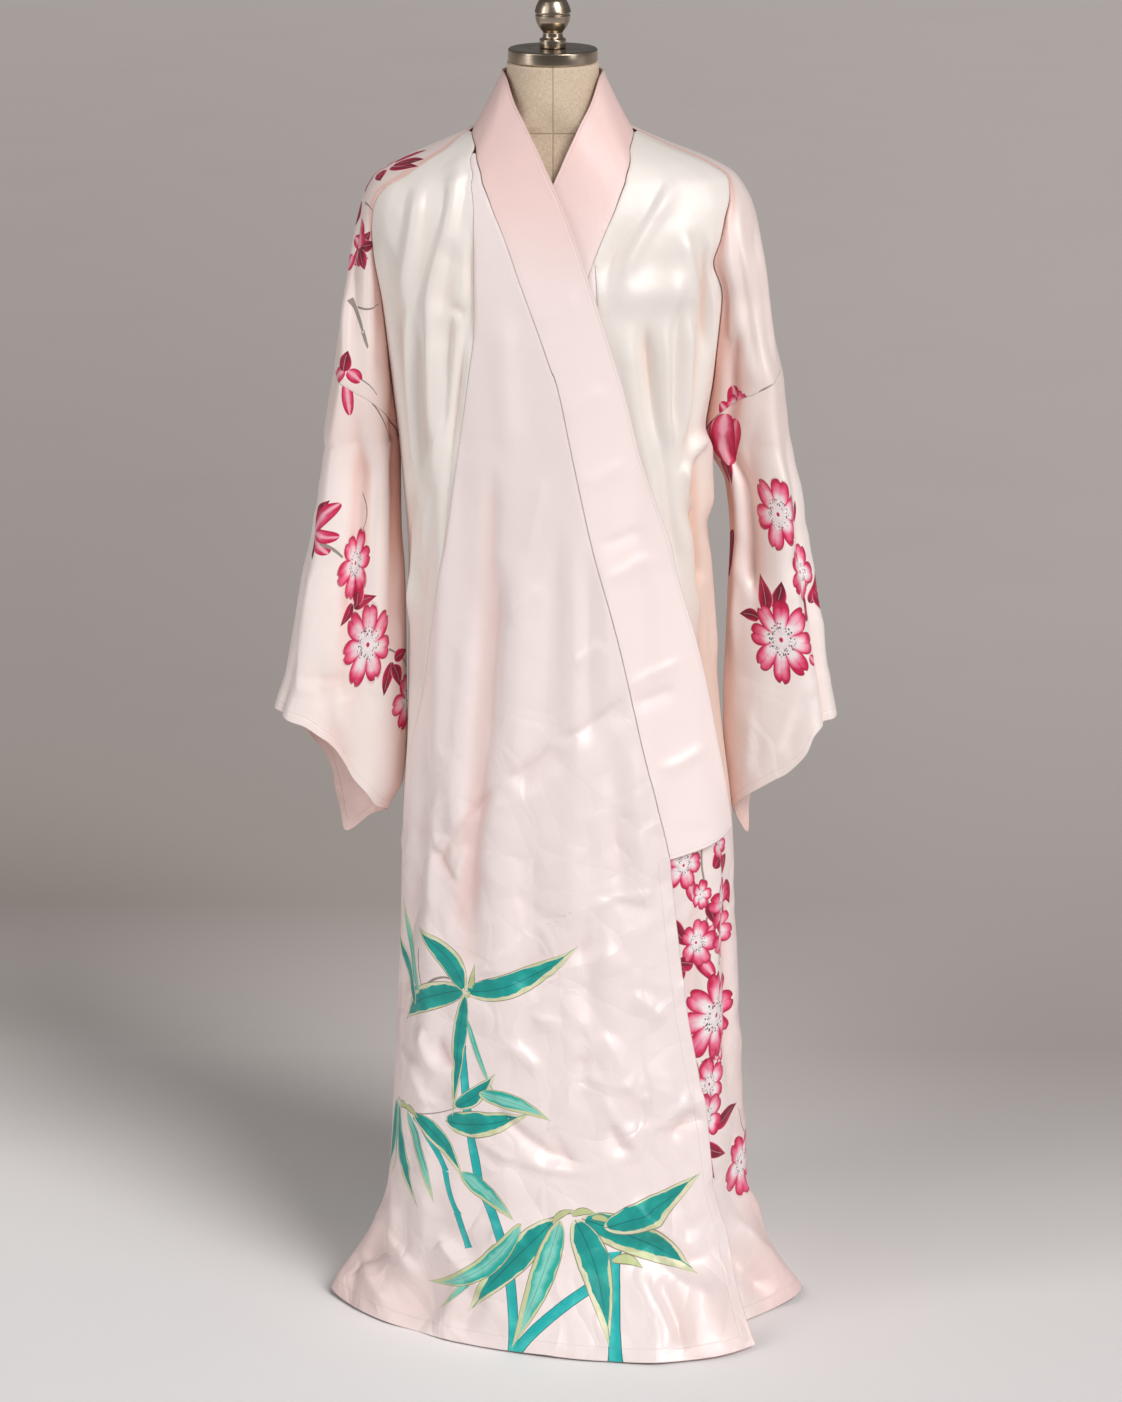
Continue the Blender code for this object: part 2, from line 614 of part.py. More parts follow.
def panel(name, heights, left, right, cells, layer, material, gaps):
    """A wall on the body in one layer, between two turns for each row. gaps draws its edges in."""
    turns = between(left, right, cells)
    levels = np.broadcast_to(heights[:, None], turns.shape)
    points = nudged(body(turns, levels, layer), **gaps)
    normals = outward(lambda turn, z: body(turn, z, layer), turns, levels)
    vertices, faces = wall_mesh(points, normals, CLOTH_WALL)
    return add_piece(name, vertices, faces, material)


def valley_edge(heights):
    """How far the cloth is cut back where the front meets the arm in a valley."""
    top = ease((VALLEY_TOP_Z - heights) / VALLEY_RUN)
    foot = ease((heights - ARMPIT_Z + VALLEY_FOOT_RUN) / VALLEY_FOOT_RUN)
    sharp = ARMPIT_EDGE * ease((ARMPIT_EDGE_TOP_Z - heights) / ARMPIT_EDGE_RUN)
    return top * foot * (VALLEY_EDGE + sharp)


def seam_turn(side, heights):
    """The turn of the line where the fronts end at each side: the shoulder seam, then the side seam."""
    column = 0 if side == "right" else 1
    lead = np.where(heights >= ARMPIT_Z, shoulder_seam_at(heights)[..., column], 0.0)
    return SIDE_SIGN[side] * (90.0 - lead)


def make_side_front(side, heights, material):
    """The ivory side front, from the shoulder seam to the printed front or the collar."""
    if side == "right":
        use = heights[(heights >= PRINT_SEAM[0][0]) & (heights <= FRONT_TOP_Z)]
        inner = np.where(use > PRINT_SEAM[-1][0], collar_seam_at(use)[..., 0], print_seam_at(use)[..., 0])
        ends = seam_turn(side, use), inner
        layer = "outer"
    else:
        use = heights[(heights >= HIDDEN_SEAM[0][0]) & (heights <= FRONT_TOP_Z)]
        inner = np.where(use > HIDDEN_SEAM[-1][0], -collar_seam_at(use)[..., 0], hidden_seam_at(use)[..., 0])
        ends = inner, seam_turn(side, use)
        layer = "under"
    arm_edge = SEAM_GAP / 2 + valley_edge(use)
    gaps = dict(left=SEAM_GAP / 2, right=SEAM_GAP / 2, top=SEAM_GAP / 2, bottom=SEAM_GAP / 2)
    gaps["left" if side == "right" else "right"] = arm_edge
    return panel(f"side_front_{side}", use, *ends, SIDE_CELLS, layer, material, gaps)


def make_overlaps(heights, material):
    """The printed fronts: the right one lies on top and the left one under it."""
    gaps = dict(left=SEAM_GAP, right=SEAM_GAP, top=SEAM_GAP, bottom=0.0)
    use = heights[heights < PRINT_SEAM[-1][0]]
    outside = np.where(use > PRINT_SEAM[0][0], print_seam_at(use)[..., 0], -90.0)
    inside = np.where(use > WRAP_END_Z, collar_seam_at(use)[..., 0], wrap_edge_at(use)[..., 0])
    panel("overlap_right", use, outside, inside, OVERLAP_CELLS, "outer", material, gaps)
    use = heights[heights <= HIDDEN_SEAM[-1][0]]
    outside = np.where(use > HIDDEN_SEAM[0][0], hidden_seam_at(use)[..., 0], 90.0)
    inside = np.where(use > WRAP_END_Z, -collar_seam_at(use)[..., 0], under_edge_at(use)[..., 0])
    panel("overlap_left", use, inside, outside, UNDERLAP_CELLS, "under", material, gaps)


def make_back(heights, material):
    """The back with both upper arms, in one piece: the arms' rows are drawn up towards the dropped seam."""
    count = int(np.sum(heights >= ARMPIT_Z - 1e-6))
    upper = heights[:count]
    shares = np.linspace(0.0, 1.0, LOBE_CELLS + 1)
    valley = np.where(heights >= ARMPIT_Z, back_valley_at(heights)[..., 0], 0.0)
    turns = between(90.0 + valley, 270.0 - valley, BACK_CELLS)
    torso = body(turns, np.broadcast_to(heights[:, None], turns.shape))
    side_edge = np.where(heights < ARMPIT_Z - 0.001, SIDE_SEAM_EDGE, 0.0)
    torso = nudged(torso, left=side_edge, right=side_edge)
    lobes = {}
    for side in ("left", "right"):
        share, level = np.meshgrid(shares, upper)
        stretch = (ARM_START_Z - drop_seam_z(share)) / (ARM_START_Z - ARMPIT_Z)
        level = np.where(level < ARM_START_Z, ARM_START_Z - (ARM_START_Z - level) * stretch, level)
        lobes[side] = nudged(arm(side, share, level), left=SEAM_GAP / 2 + 2 * valley_edge(upper))
    rows = len(heights)
    width = 2 * LOBE_CELLS + BACK_CELLS + 1
    points = np.zeros((rows, width, 3))
    keep = np.zeros((rows - 1, width - 1), bool)
    points[:, LOBE_CELLS:LOBE_CELLS + BACK_CELLS + 1] = torso
    points[:count, :LOBE_CELLS] = lobes["left"][:, :-1]
    points[:count, LOBE_CELLS + BACK_CELLS + 1:] = lobes["right"][:, ::-1][:, 1:]
    points[count:, :LOBE_CELLS] = points[count:, LOBE_CELLS:LOBE_CELLS + 1]
    last = LOBE_CELLS + BACK_CELLS
    points[count:, last + 1:] = points[count:, last:last + 1]
    keep[:, LOBE_CELLS:LOBE_CELLS + BACK_CELLS] = True
    keep[:count - 1, :] = True
    normals = back_normals(points, count)
    vertices, faces = wall_mesh(points, normals, CLOTH_WALL, keep=keep)
    return add_piece("back_panel", vertices, faces, material)


def back_normals(points, count):
    """Normals of the back panel, whose lower rows have no arms."""
    normals = grid_normals(points)
    first, last = LOBE_CELLS, LOBE_CELLS + BACK_CELLS + 1
    normals[count:, first:last] = grid_normals(points[count - 1:, first:last])[1:]
    normals[:count] = grid_normals(points[:count])
    return normals


def make_sleeve(side, material):
    """A sleeve from the dropped seam to the cuff, as a closed ring of cloth."""
    shares = np.arange(SLEEVE_CELLS) / SLEEVE_CELLS
    top = drop_seam_z(shares) - DROP_SEAM_GAP
    bottom = cuff_at[side](shares)[..., 0]
    way = np.linspace(0.0, 1.0, SLEEVE_ROWS + 1)[:, None]
    levels = top[None, :] * (1 - way) + bottom[None, :] * way
    points = arm(side, np.broadcast_to(shares, levels.shape), levels, sleeve=True)
    if side == "right":
        points = points[:, ::-1]
    vertices, faces = wall_mesh(points, grid_normals(points, closed=True), CLOTH_WALL, closed=True)
    return add_piece(f"sleeve_{side}", vertices, faces, material)


def collar_rows(side, heights, neck):
    """The collar's cross rows on one front, from its lower end up to the neck ring."""
    use = heights[(heights > WRAP_END_Z) & (heights < FRONT_TOP_Z)][::-1]
    use = np.concatenate([[WRAP_END_Z], use])
    mirror = 1.0 if side == "right" else -1.0
    layer = "outer" if side == "right" else "under"
    edge_z = use + EDGE_RISE + EDGE_EXTRA_RISE * ease((use - EDGE_EXTRA_Z) / EDGE_EXTRA_RUN)
    across = np.linspace(0.0, 1.0, COLLAR_CELLS + 1)
    rows = []
    for z, high in zip(use, edge_z):
        seam = collar_seam_at(z)[0]
        if z > COLLAR_STANDS_Z:
            start = body(mirror * seam, z, layer)
            x, y, top = neck(NECK_SIDE + (1 - NECK_SIDE) * (NECK_Z - z) / (NECK_Z - COLLAR_STANDS_Z))
            end = np.array([-mirror * x, y, top])
            rows.append(start + (end - start) * across[:, None])
        else:
            turns = seam + (collar_edge_at(high)[0] - seam) * across
            levels = z + (high - z) * across
            rows.append(body(mirror * turns, levels, layer))
    return np.array(rows)


def neck_edge():
    """The standing free edge: a function from 0 at the centre back to 1 where the fronts cross."""
    points = np.array(NECK_EDGE)
    ways = np.concatenate([[0.0], np.cumsum(np.linalg.norm(np.diff(points, axis=0), axis=1))])
    return smooth_table([(way, *point) for way, point in zip(ways / ways[-1], points)])


def make_collar(heights, material):
    """The long band: up one front, round the neck and down the other."""
    neck = neck_edge()
    across = np.linspace(0.0, 1.0, COLLAR_CELLS + 1)
    back = []
    for turn in NECK_TURNS:
        start = body(turn, NECK_Z)
        x, y, z = neck(NECK_SIDE * (180.0 - abs(turn)) / 90.0)
        end = np.array([np.sign(turn) * x, y, z])
        back.append(start + (end - start) * across[:, None])
    right = collar_rows("right", heights, neck)
    left = collar_rows("left", heights, neck)
    points = np.concatenate([right, np.array(back), left[::-1]])
    lift = ease((points[:, 0, 2] - COLLAR_LIFT_Z) / COLLAR_LIFT_RUN)
    points = nudged(points, left=SEAM_GAP / 2 + COLLAR_LIFT * lift)
    vertices, faces = wall_mesh(points, grid_normals(points), BAND_WALL)
    return add_piece("collar_band", vertices, faces, material)


def make_form(material):
    """The linen form: its shoulders lie just under the robe, and the rest is slimmer."""
    turns = -90.0 + 360.0 * np.arange(FORM_SIDES) / FORM_SIDES
    forward = np.clip(np.cos(np.radians(turns)), 0, 1)
    rings = []
    for z in [row[0] for row in FORM]:
        side, front, back, middle, corner = form_at(z)
        depth = np.where(forward > 0, front + middle, back - middle)
        x = side * power(np.sin(np.radians(turns)), 2 / corner)
        y = middle - depth * power(np.cos(np.radians(turns)), 2 / corner)
        rings.append(np.stack([x, y, np.full_like(x, z)], axis=-1))
    for z in FORM_SHOULDER_ROWS:
        level = np.full_like(turns, z)
        normal = outward(body_ring, turns, level)
        inset = CLOTH_WALL / 2 + SHOULDER_SEAT + FRONT_CLEARANCE * forward**2
        inset = inset + NECK_DROP * ease((z - NECK_DROP_Z) / NECK_DROP_RUN)
        rings.append(body_ring(turns, level) - normal * inset[:, None])
    for z, radius in FORM_NECK:
        x, y = radius * np.sin(np.radians(turns)), -radius * np.cos(np.radians(turns))
        rings.append(np.stack([x, y, np.full_like(x, z)], axis=-1))
    vertices, faces = ring_faces(np.concatenate(rings), len(rings), FORM_SIDES)
    return add_piece("torso_form", vertices, faces, material)


def make_stand(nickel, steel):
    """The base plate, the pole, the cap on the neck and its finial."""
    shoulder = BASE_HEIGHT - BASE_BEVEL
    base = ((BASE_RADIUS, 0.0), (BASE_RADIUS, shoulder), (BASE_RADIUS - BASE_BEVEL, BASE_HEIGHT))
    add_piece("base_plate", *revolve(base, ROUND_SIDES), steel)
    pole = ((POLE_RADIUS, BASE_HEIGHT + SEAM_GAP), (POLE_RADIUS, FORM_BOTTOM_Z - SEAM_GAP))
    add_piece("pole", *revolve(pole, ROUND_SIDES // 2), steel)
    low, high = NECK_TOP_Z + SEAM_GAP, NECK_TOP_Z + SEAM_GAP + CAP_HEIGHT
    cap = ((CAP_RADIUS - CAP_BEVEL, low), (CAP_RADIUS, low + CAP_BEVEL), (CAP_RADIUS, high - CAP_BEVEL),
           (CAP_RADIUS - CAP_BEVEL, high))
    add_piece("neck_cap", *revolve(cap, ROUND_SIDES), nickel)
    finial = [(radius, high + height) for radius, height in FINIAL]
    add_piece("finial", *revolve(finial, ROUND_SIDES // 2), nickel)


def main():
    """Clears the scene and builds every piece."""
    for thing in list(bpy.data.objects):
        bpy.data.objects.remove(thing)
    materials = {name: make_material(name) for name in COLOURS}
    heights = level_rows()
    make_back(heights, materials["silk_peach"])
    make_side_front("right", heights, materials["silk_ivory"])
    make_side_front("left", heights, materials["silk_ivory"])
    make_overlaps(heights, materials["silk_pink"])
    make_collar(heights, materials["silk_band"])
    make_sleeve("right", materials["silk_peach"])
    make_sleeve("left", materials["silk_peach"])
    make_form(materials["linen"])
    make_stand(materials["nickel"], materials["stand_steel"])


main()
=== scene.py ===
"""The looks of the silk kimono on its dress form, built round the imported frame.

The robe's surfaces are the ones that the frame was made from. The body is a stack of level rings, read by
turn (degrees round from the centre front, + towards the wearer's left) and height. Each arm is a ring of its
own, read by share of the way round and height. Every cloth piece is a thin shell on them, with the creases,
hems and printed motifs laid out in metres along and up the cloth.
"""
import math

import bmesh
import bpy
import numpy as np
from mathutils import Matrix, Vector


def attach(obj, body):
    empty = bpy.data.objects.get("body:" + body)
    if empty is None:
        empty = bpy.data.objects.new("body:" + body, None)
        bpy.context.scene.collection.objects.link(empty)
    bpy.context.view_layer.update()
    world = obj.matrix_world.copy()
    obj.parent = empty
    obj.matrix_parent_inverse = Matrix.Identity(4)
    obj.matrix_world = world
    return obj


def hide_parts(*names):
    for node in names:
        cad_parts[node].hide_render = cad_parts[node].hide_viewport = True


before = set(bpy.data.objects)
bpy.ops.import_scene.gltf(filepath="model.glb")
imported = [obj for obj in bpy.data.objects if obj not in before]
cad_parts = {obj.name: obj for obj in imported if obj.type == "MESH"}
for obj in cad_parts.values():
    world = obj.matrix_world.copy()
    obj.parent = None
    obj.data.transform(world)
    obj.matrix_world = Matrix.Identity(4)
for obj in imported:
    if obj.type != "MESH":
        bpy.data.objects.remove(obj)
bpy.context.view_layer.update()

# ---------------------------------------------------------------- driving sizes, as in the frame
SILK = 0.0008
BAND = 0.0020
SEAM_GAP = 0.0003
HEM_Z = 0.0020
ARMPIT_Z = 1.070
NECK_Z = 1.438
FRONT_TOP_Z = 1.4345
WRAP_END_Z = 0.592
COLLAR_STANDS_Z = 1.353
ARM_START_Z = 1.385
LAYER_STEP = 0.0045
SWELL, SWELL_TOP_Z, SWELL_RUN = 0.008, 1.150, 0.400
SWELL_TURN, SWELL_TURN_RUN = 20.0, 50.0
HEM_SWING, HEM_SWING_Z, HEM_SWING_POWER = 0.075, 0.150, 1.5
HEM_SWING_TURN, HEM_SWING_TURN_RUN = -10.0, 60.0
EDGE_RISE, EDGE_EXTRA_RISE, EDGE_EXTRA_Z, EDGE_EXTRA_RUN = 0.018, 0.015, 0.900, 0.450
COLLAR_LIFT, COLLAR_LIFT_Z, COLLAR_LIFT_RUN = 0.0010, 1.340, 0.060
ARMPIT_CLEARANCE, ARMPIT_CLEARANCE_Z, ARMPIT_CLEARANCE_RUN = 0.0012, 0.900, 0.100
PROBE = 0.0004
VALLEY_EDGE, VALLEY_TOP_Z, VALLEY_RUN, VALLEY_FOOT_RUN = 0.0012, 1.400, 0.050, 0.030
ARMPIT_EDGE, ARMPIT_EDGE_TOP_Z, ARMPIT_EDGE_RUN = 0.0024, 1.300, 0.150

BODY = (
    # z     left    right   front  back   middle  corner
    (0.002, 0.272, 0.306, 0.260, 0.235, -0.060, 1.60),
    (0.037, 0.246, 0.279, 0.249, 0.222, -0.052, 1.70),
    (0.091, 0.217, 0.250, 0.236, 0.208, -0.040, 1.90),
    (0.145, 0.204, 0.237, 0.226, 0.200, -0.032, 2.10),
    (0.300, 0.194, 0.228, 0.206, 0.180, -0.020, 2.45),
    (0.450, 0.186, 0.221, 0.190, 0.165, -0.012, 2.65),
    (0.617, 0.180, 0.213, 0.175, 0.148, -0.005, 2.75),
    (0.740, 0.173, 0.199, 0.164, 0.136, 0.000, 2.70),
    (0.918, 0.170, 0.186, 0.151, 0.122, 0.000, 2.55),
    (1.070, 0.180, 0.179, 0.142, 0.112, 0.000, 2.45),
    (1.150, 0.191, 0.191, 0.138, 0.112, 0.000, 2.40),
    (1.240, 0.203, 0.205, 0.132, 0.113, 0.000, 2.40),
    (1.300, 0.214, 0.218, 0.122, 0.113, 0.000, 2.35),
    (1.350, 0.218, 0.226, 0.108, 0.108, 0.000, 2.30),
    (1.382, 0.207, 0.213, 0.094, 0.101, 0.000, 2.25),
    (1.400, 0.178, 0.184, 0.084, 0.095, 0.000, 2.20),
    (1.420, 0.131, 0.132, 0.072, 0.087, 0.004, 2.15),
    (1.438, 0.090, 0.090, 0.060, 0.079, 0.008, 2.10),
)
COLLAR_SEAM = (
    (0.592, 33.0), (0.722, 25.0), (0.849, 18.0), (0.968, 10.0), (1.086, 4.0), (1.191, -1.0),
    (1.271, -7.0), (1.353, -15.0), (1.390, -22.0), (1.420, -41.0), (1.430, -58.0), (1.438, -86.0),
)
COLLAR_EDGE = (
    (0.610, 70.0), (0.707, 64.0), (0.848, 53.0), (0.973, 41.0), (1.082, 29.0), (1.207, 15.0),
    (1.270, 9.0), (1.321, 5.0), (1.386, 0.0),
)
WRAP_EDGE = (
    (0.002, 55.0), (0.100, 57.0), (0.176, 52.0), (0.262, 48.0), (0.418, 39.0), (0.592, 33.0),
)
PRINT_SEAM = (
    (0.470, -89.5), (0.500, -87.0), (0.594, -81.0), (0.688, -73.0), (0.769, -63.0), (0.847, -53.0),
    (0.948, -44.0), (1.033, -37.0), (1.093, -32.0), (1.141, -28.0), (1.223, -23.0), (1.350, -21.5),
    (1.390, -25.5), (1.420, -42.0),
)
HIDDEN_SEAM = (
    (0.560, 89.5), (0.600, 82.0), (0.720, 58.0), (0.850, 44.0), (0.970, 32.0), (1.090, 21.0),
    (1.200, 12.0), (1.300, 9.8),
)
UNDER_EDGE = ((0.002, -28.0), (0.300, -30.0), (0.592, -33.0))
SHOULDER_SEAM = (
    # z     right_arm  left_arm
    (1.070, 0.0, 0.0), (1.150, 8.0, 9.0), (1.240, 12.0, 18.0), (1.300, 13.0, 31.0), (1.340, 17.0, 30.0),
    (1.373, 24.0, 22.0), (1.389, 33.0, 15.0), (1.415, 28.0, 10.0), (1.430, 12.0, 6.0), (1.438, 4.0, 4.0),
)
BACK_VALLEY = ((1.070, 0.0), (1.150, 12.0), (1.240, 26.0), (1.300, 34.0), (1.350, 38.0), (1.438, 42.0))
ARM_RIGHT = (
    # z     inner  outer  front  back   middle
    (0.540, 0.232, 0.352, 0.060, 0.066, -0.034),
    (0.624, 0.197, 0.348, 0.062, 0.068, -0.033),
    (0.655, 0.181, 0.346, 0.064, 0.070, -0.032),
    (0.737, 0.1755, 0.3365, 0.067, 0.073, -0.030),
    (0.781, 0.176, 0.3236, 0.070, 0.075, -0.028),
    (0.844, 0.176, 0.3105, 0.074, 0.078, -0.024),
    (0.906, 0.177, 0.2998, 0.078, 0.080, -0.018),
    (0.967, 0.180, 0.2844, 0.082, 0.084, -0.010),
    (1.070, 0.180, 0.2705, 0.084, 0.086, 0.000),
    (1.150, 0.191, 0.2579, 0.074, 0.078, 0.000),
    (1.234, 0.202, 0.2472, 0.050, 0.056, 0.000),
    (1.281, 0.211, 0.2383, 0.032, 0.036, 0.000),
    (1.335, 0.218, 0.2259, 0.012, 0.012, 0.000),
    (1.385, 0.204, 0.2045, 0.000, 0.000, 0.000),
)
ARM_LEFT = (
    (0.540, 0.240, 0.358, 0.060, 0.066, -0.034),
    (0.640, 0.213, 0.352, 0.064, 0.070, -0.032),
    (0.728, 0.205, 0.3423, 0.067, 0.073, -0.030),
    (0.769, 0.205, 0.3344, 0.070, 0.075, -0.028),
    (0.819, 0.207, 0.3239, 0.073, 0.077, -0.024),
    (0.881, 0.209, 0.3120, 0.077, 0.080, -0.018),
    (0.943, 0.211, 0.3014, 0.080, 0.082, -0.012),
    (1.016, 0.204, 0.2907, 0.083, 0.085, -0.006),
    (1.070, 0.179, 0.2798, 0.084, 0.086, 0.000),
    (1.138, 0.188, 0.2723, 0.076, 0.080, 0.000),
    (1.186, 0.196, 0.2622, 0.064, 0.070, 0.000),
    (1.246, 0.206, 0.2531, 0.046, 0.054, 0.000),
    (1.311, 0.220, 0.2429, 0.026, 0.030, 0.000),
    (1.350, 0.226, 0.2335, 0.010, 0.010, 0.000),
    (1.390, 0.203, 0.2035, 0.000, 0.000, 0.000),
)
ARM_CORNER = 2.4
ARM_MOUTH = 38.0
ARMPIT_CORNER = 0.12
DROP_SEAM_RISE = 0.085
DROP_SEAM_POWER = 0.6
CUFF_RIGHT = (
    (0.000, 0.616), (0.059, 0.624), (0.122, 0.645), (0.160, 0.663), (0.197, 0.698), (0.240, 0.717),
    (0.294, 0.733), (0.400, 0.742), (0.500, 0.745), (0.600, 0.735), (0.700, 0.705), (0.780, 0.670),
    (0.830, 0.610), (0.870, 0.578), (0.941, 0.604), (1.000, 0.616),
)
CUFF_LEFT = (
    (0.000, 0.616), (0.084, 0.640), (0.139, 0.654), (0.181, 0.666), (0.220, 0.681), (0.256, 0.698),
    (0.286, 0.720), (0.319, 0.728), (0.400, 0.734), (0.500, 0.737), (0.600, 0.728), (0.750, 0.695),
    (0.870, 0.650), (0.912, 0.622), (0.958, 0.582), (1.000, 0.616),
)
NECK_EDGE = (
    # x      y       z
    (0.0000, 0.0610, 1.5010), (0.0250, 0.0580, 1.5012), (0.0440, 0.0440, 1.5025), (0.0555, 0.0220, 1.5035),
    (0.0580, 0.0020, 1.5040), (0.0545, -0.0200, 1.5000), (0.0440, -0.0480, 1.4730), (0.0300, -0.0690, 1.4480),
    (0.0160, -0.0860, 1.4180),
)
NECK_SIDE = 0.409
NECK_SIDE_TURN = 86.0
BODY_FOLDS = (
    # turn  z      turn   z      width  height
    (-20.0, 1.040, -27.0, 0.450, 0.030, -0.006),
    (-38.0, 1.200, -50.0, 0.700, 0.022, 0.005),
    (-62.0, 1.300, -70.0, 0.900, 0.020, -0.007),
    (-48.0, 0.080, -46.0, 0.001, 0.030, -0.014),
    (-72.0, 0.120, -84.0, 0.001, 0.030, 0.012),
    (38.0, 1.330, 44.0, 0.950, 0.022, 0.006),
    (58.0, 1.300, 64.0, 0.900, 0.020, -0.008),
    (70.0, 0.110, 78.0, 0.001, 0.030, 0.012),
    (15.0, 0.200, 20.0, 0.001, 0.040, -0.008),
    (118.0, 1.200, 125.0, 0.300, 0.035, -0.012),
    (150.0, 1.250, 146.0, 0.050, 0.045, 0.012),
    (180.0, 1.150, 178.0, 0.001, 0.050, -0.012),
    (-150.0, 1.250, -148.0, 0.050, 0.045, 0.012),
    (-120.0, 1.200, -124.0, 0.300, 0.035, -0.012),
)
ARM_FOLDS_RIGHT = (
    # share z      share  z      width  height
    (0.30, 1.250, 0.33, 0.700, 0.022, 0.006),
    (0.18, 1.050, 0.20, 0.640, 0.022, -0.010),
    (0.42, 0.960, 0.42, 0.720, 0.016, -0.006),
    (0.70, 1.150, 0.70, 0.640, 0.030, -0.010),
)
ARM_FOLDS_LEFT = (
    (0.14, 1.200, 0.13, 0.900, 0.018, -0.014),
    (0.30, 1.300, 0.28, 0.660, 0.024, 0.006),
    (0.40, 0.900, 0.37, 0.680, 0.016, -0.008),
    (0.70, 1.150, 0.70, 0.640, 0.030, -0.010),
)
DEGREE_GIRTH = 0.0036
SHARE_GIRTH = 0.48

# ---------------------------------------------------------------- creases
CREASE_UNITS = (1000, 1000, 1000, 1000, 10000, 10000, 1000, 10)


def in_units(rows, units):
    """Rows of whole numbers, each divided by the unit of its column."""
    return [tuple(value / unit for value, unit in zip(row, units)) for row in rows]


def creases(*rows):
    """Creases, in metres. Each row is a line from (u, z) to (u, z), in millimetres along and up the cloth
    from the centre front, with its width and its height (+ out, - in) in tenths of a millimetre, how far its
    middle bows aside in millimetres, and how sharp it is in tenths (0 a soft trough, 10 a pressed line)."""
    return in_units(rows, CREASE_UNITS)


FRONT_CREASES = creases(
    (-60, 960, -78, 700, 120, -85, 2, 4), (-74, 760, -108, 480, 110, -70, 4, 4),
    (-36, 1000, -46, 640, 160, 52, 0, 0), (-96, 930, -132, 560, 150, 56, 0, 0),
    (6, 1010, -10, 700, 120, -50, 0, 1), (24, 1000, 26, 660, 110, 44, 0, 1),
    (42, 980, 44, 720, 100, -36, 2, 1), (60, 990, 66, 740, 100, 40, 0, 1),
    (94, 760, 116, 520, 110, 46, 2, 1), (66, 760, 84, 520, 140, -44, 0, 0),
    (20, 660, 34, 420, 160, 44, 4, 0), (-30, 640, -24, 400, 180, -40, 0, 0),
    (-150, 860, -192, 440, 160, -54, 0, 1), (-178, 800, -226, 400, 140, 54, 4, 1),
    (-128, 700, -150, 460, 120, -36, 4, 0), (-205, 620, -235, 300, 180, -50, 0, 0),
    (-190, 330, -230, 60, 220, 50, 6, 0), (60, 420, 75, 80, 260, 40, 0, 0),
    (-60, 180, -90, 10, 240, 50, 0, 0), (0, 150, 4, 6, 240, -46, 0, 0),
)
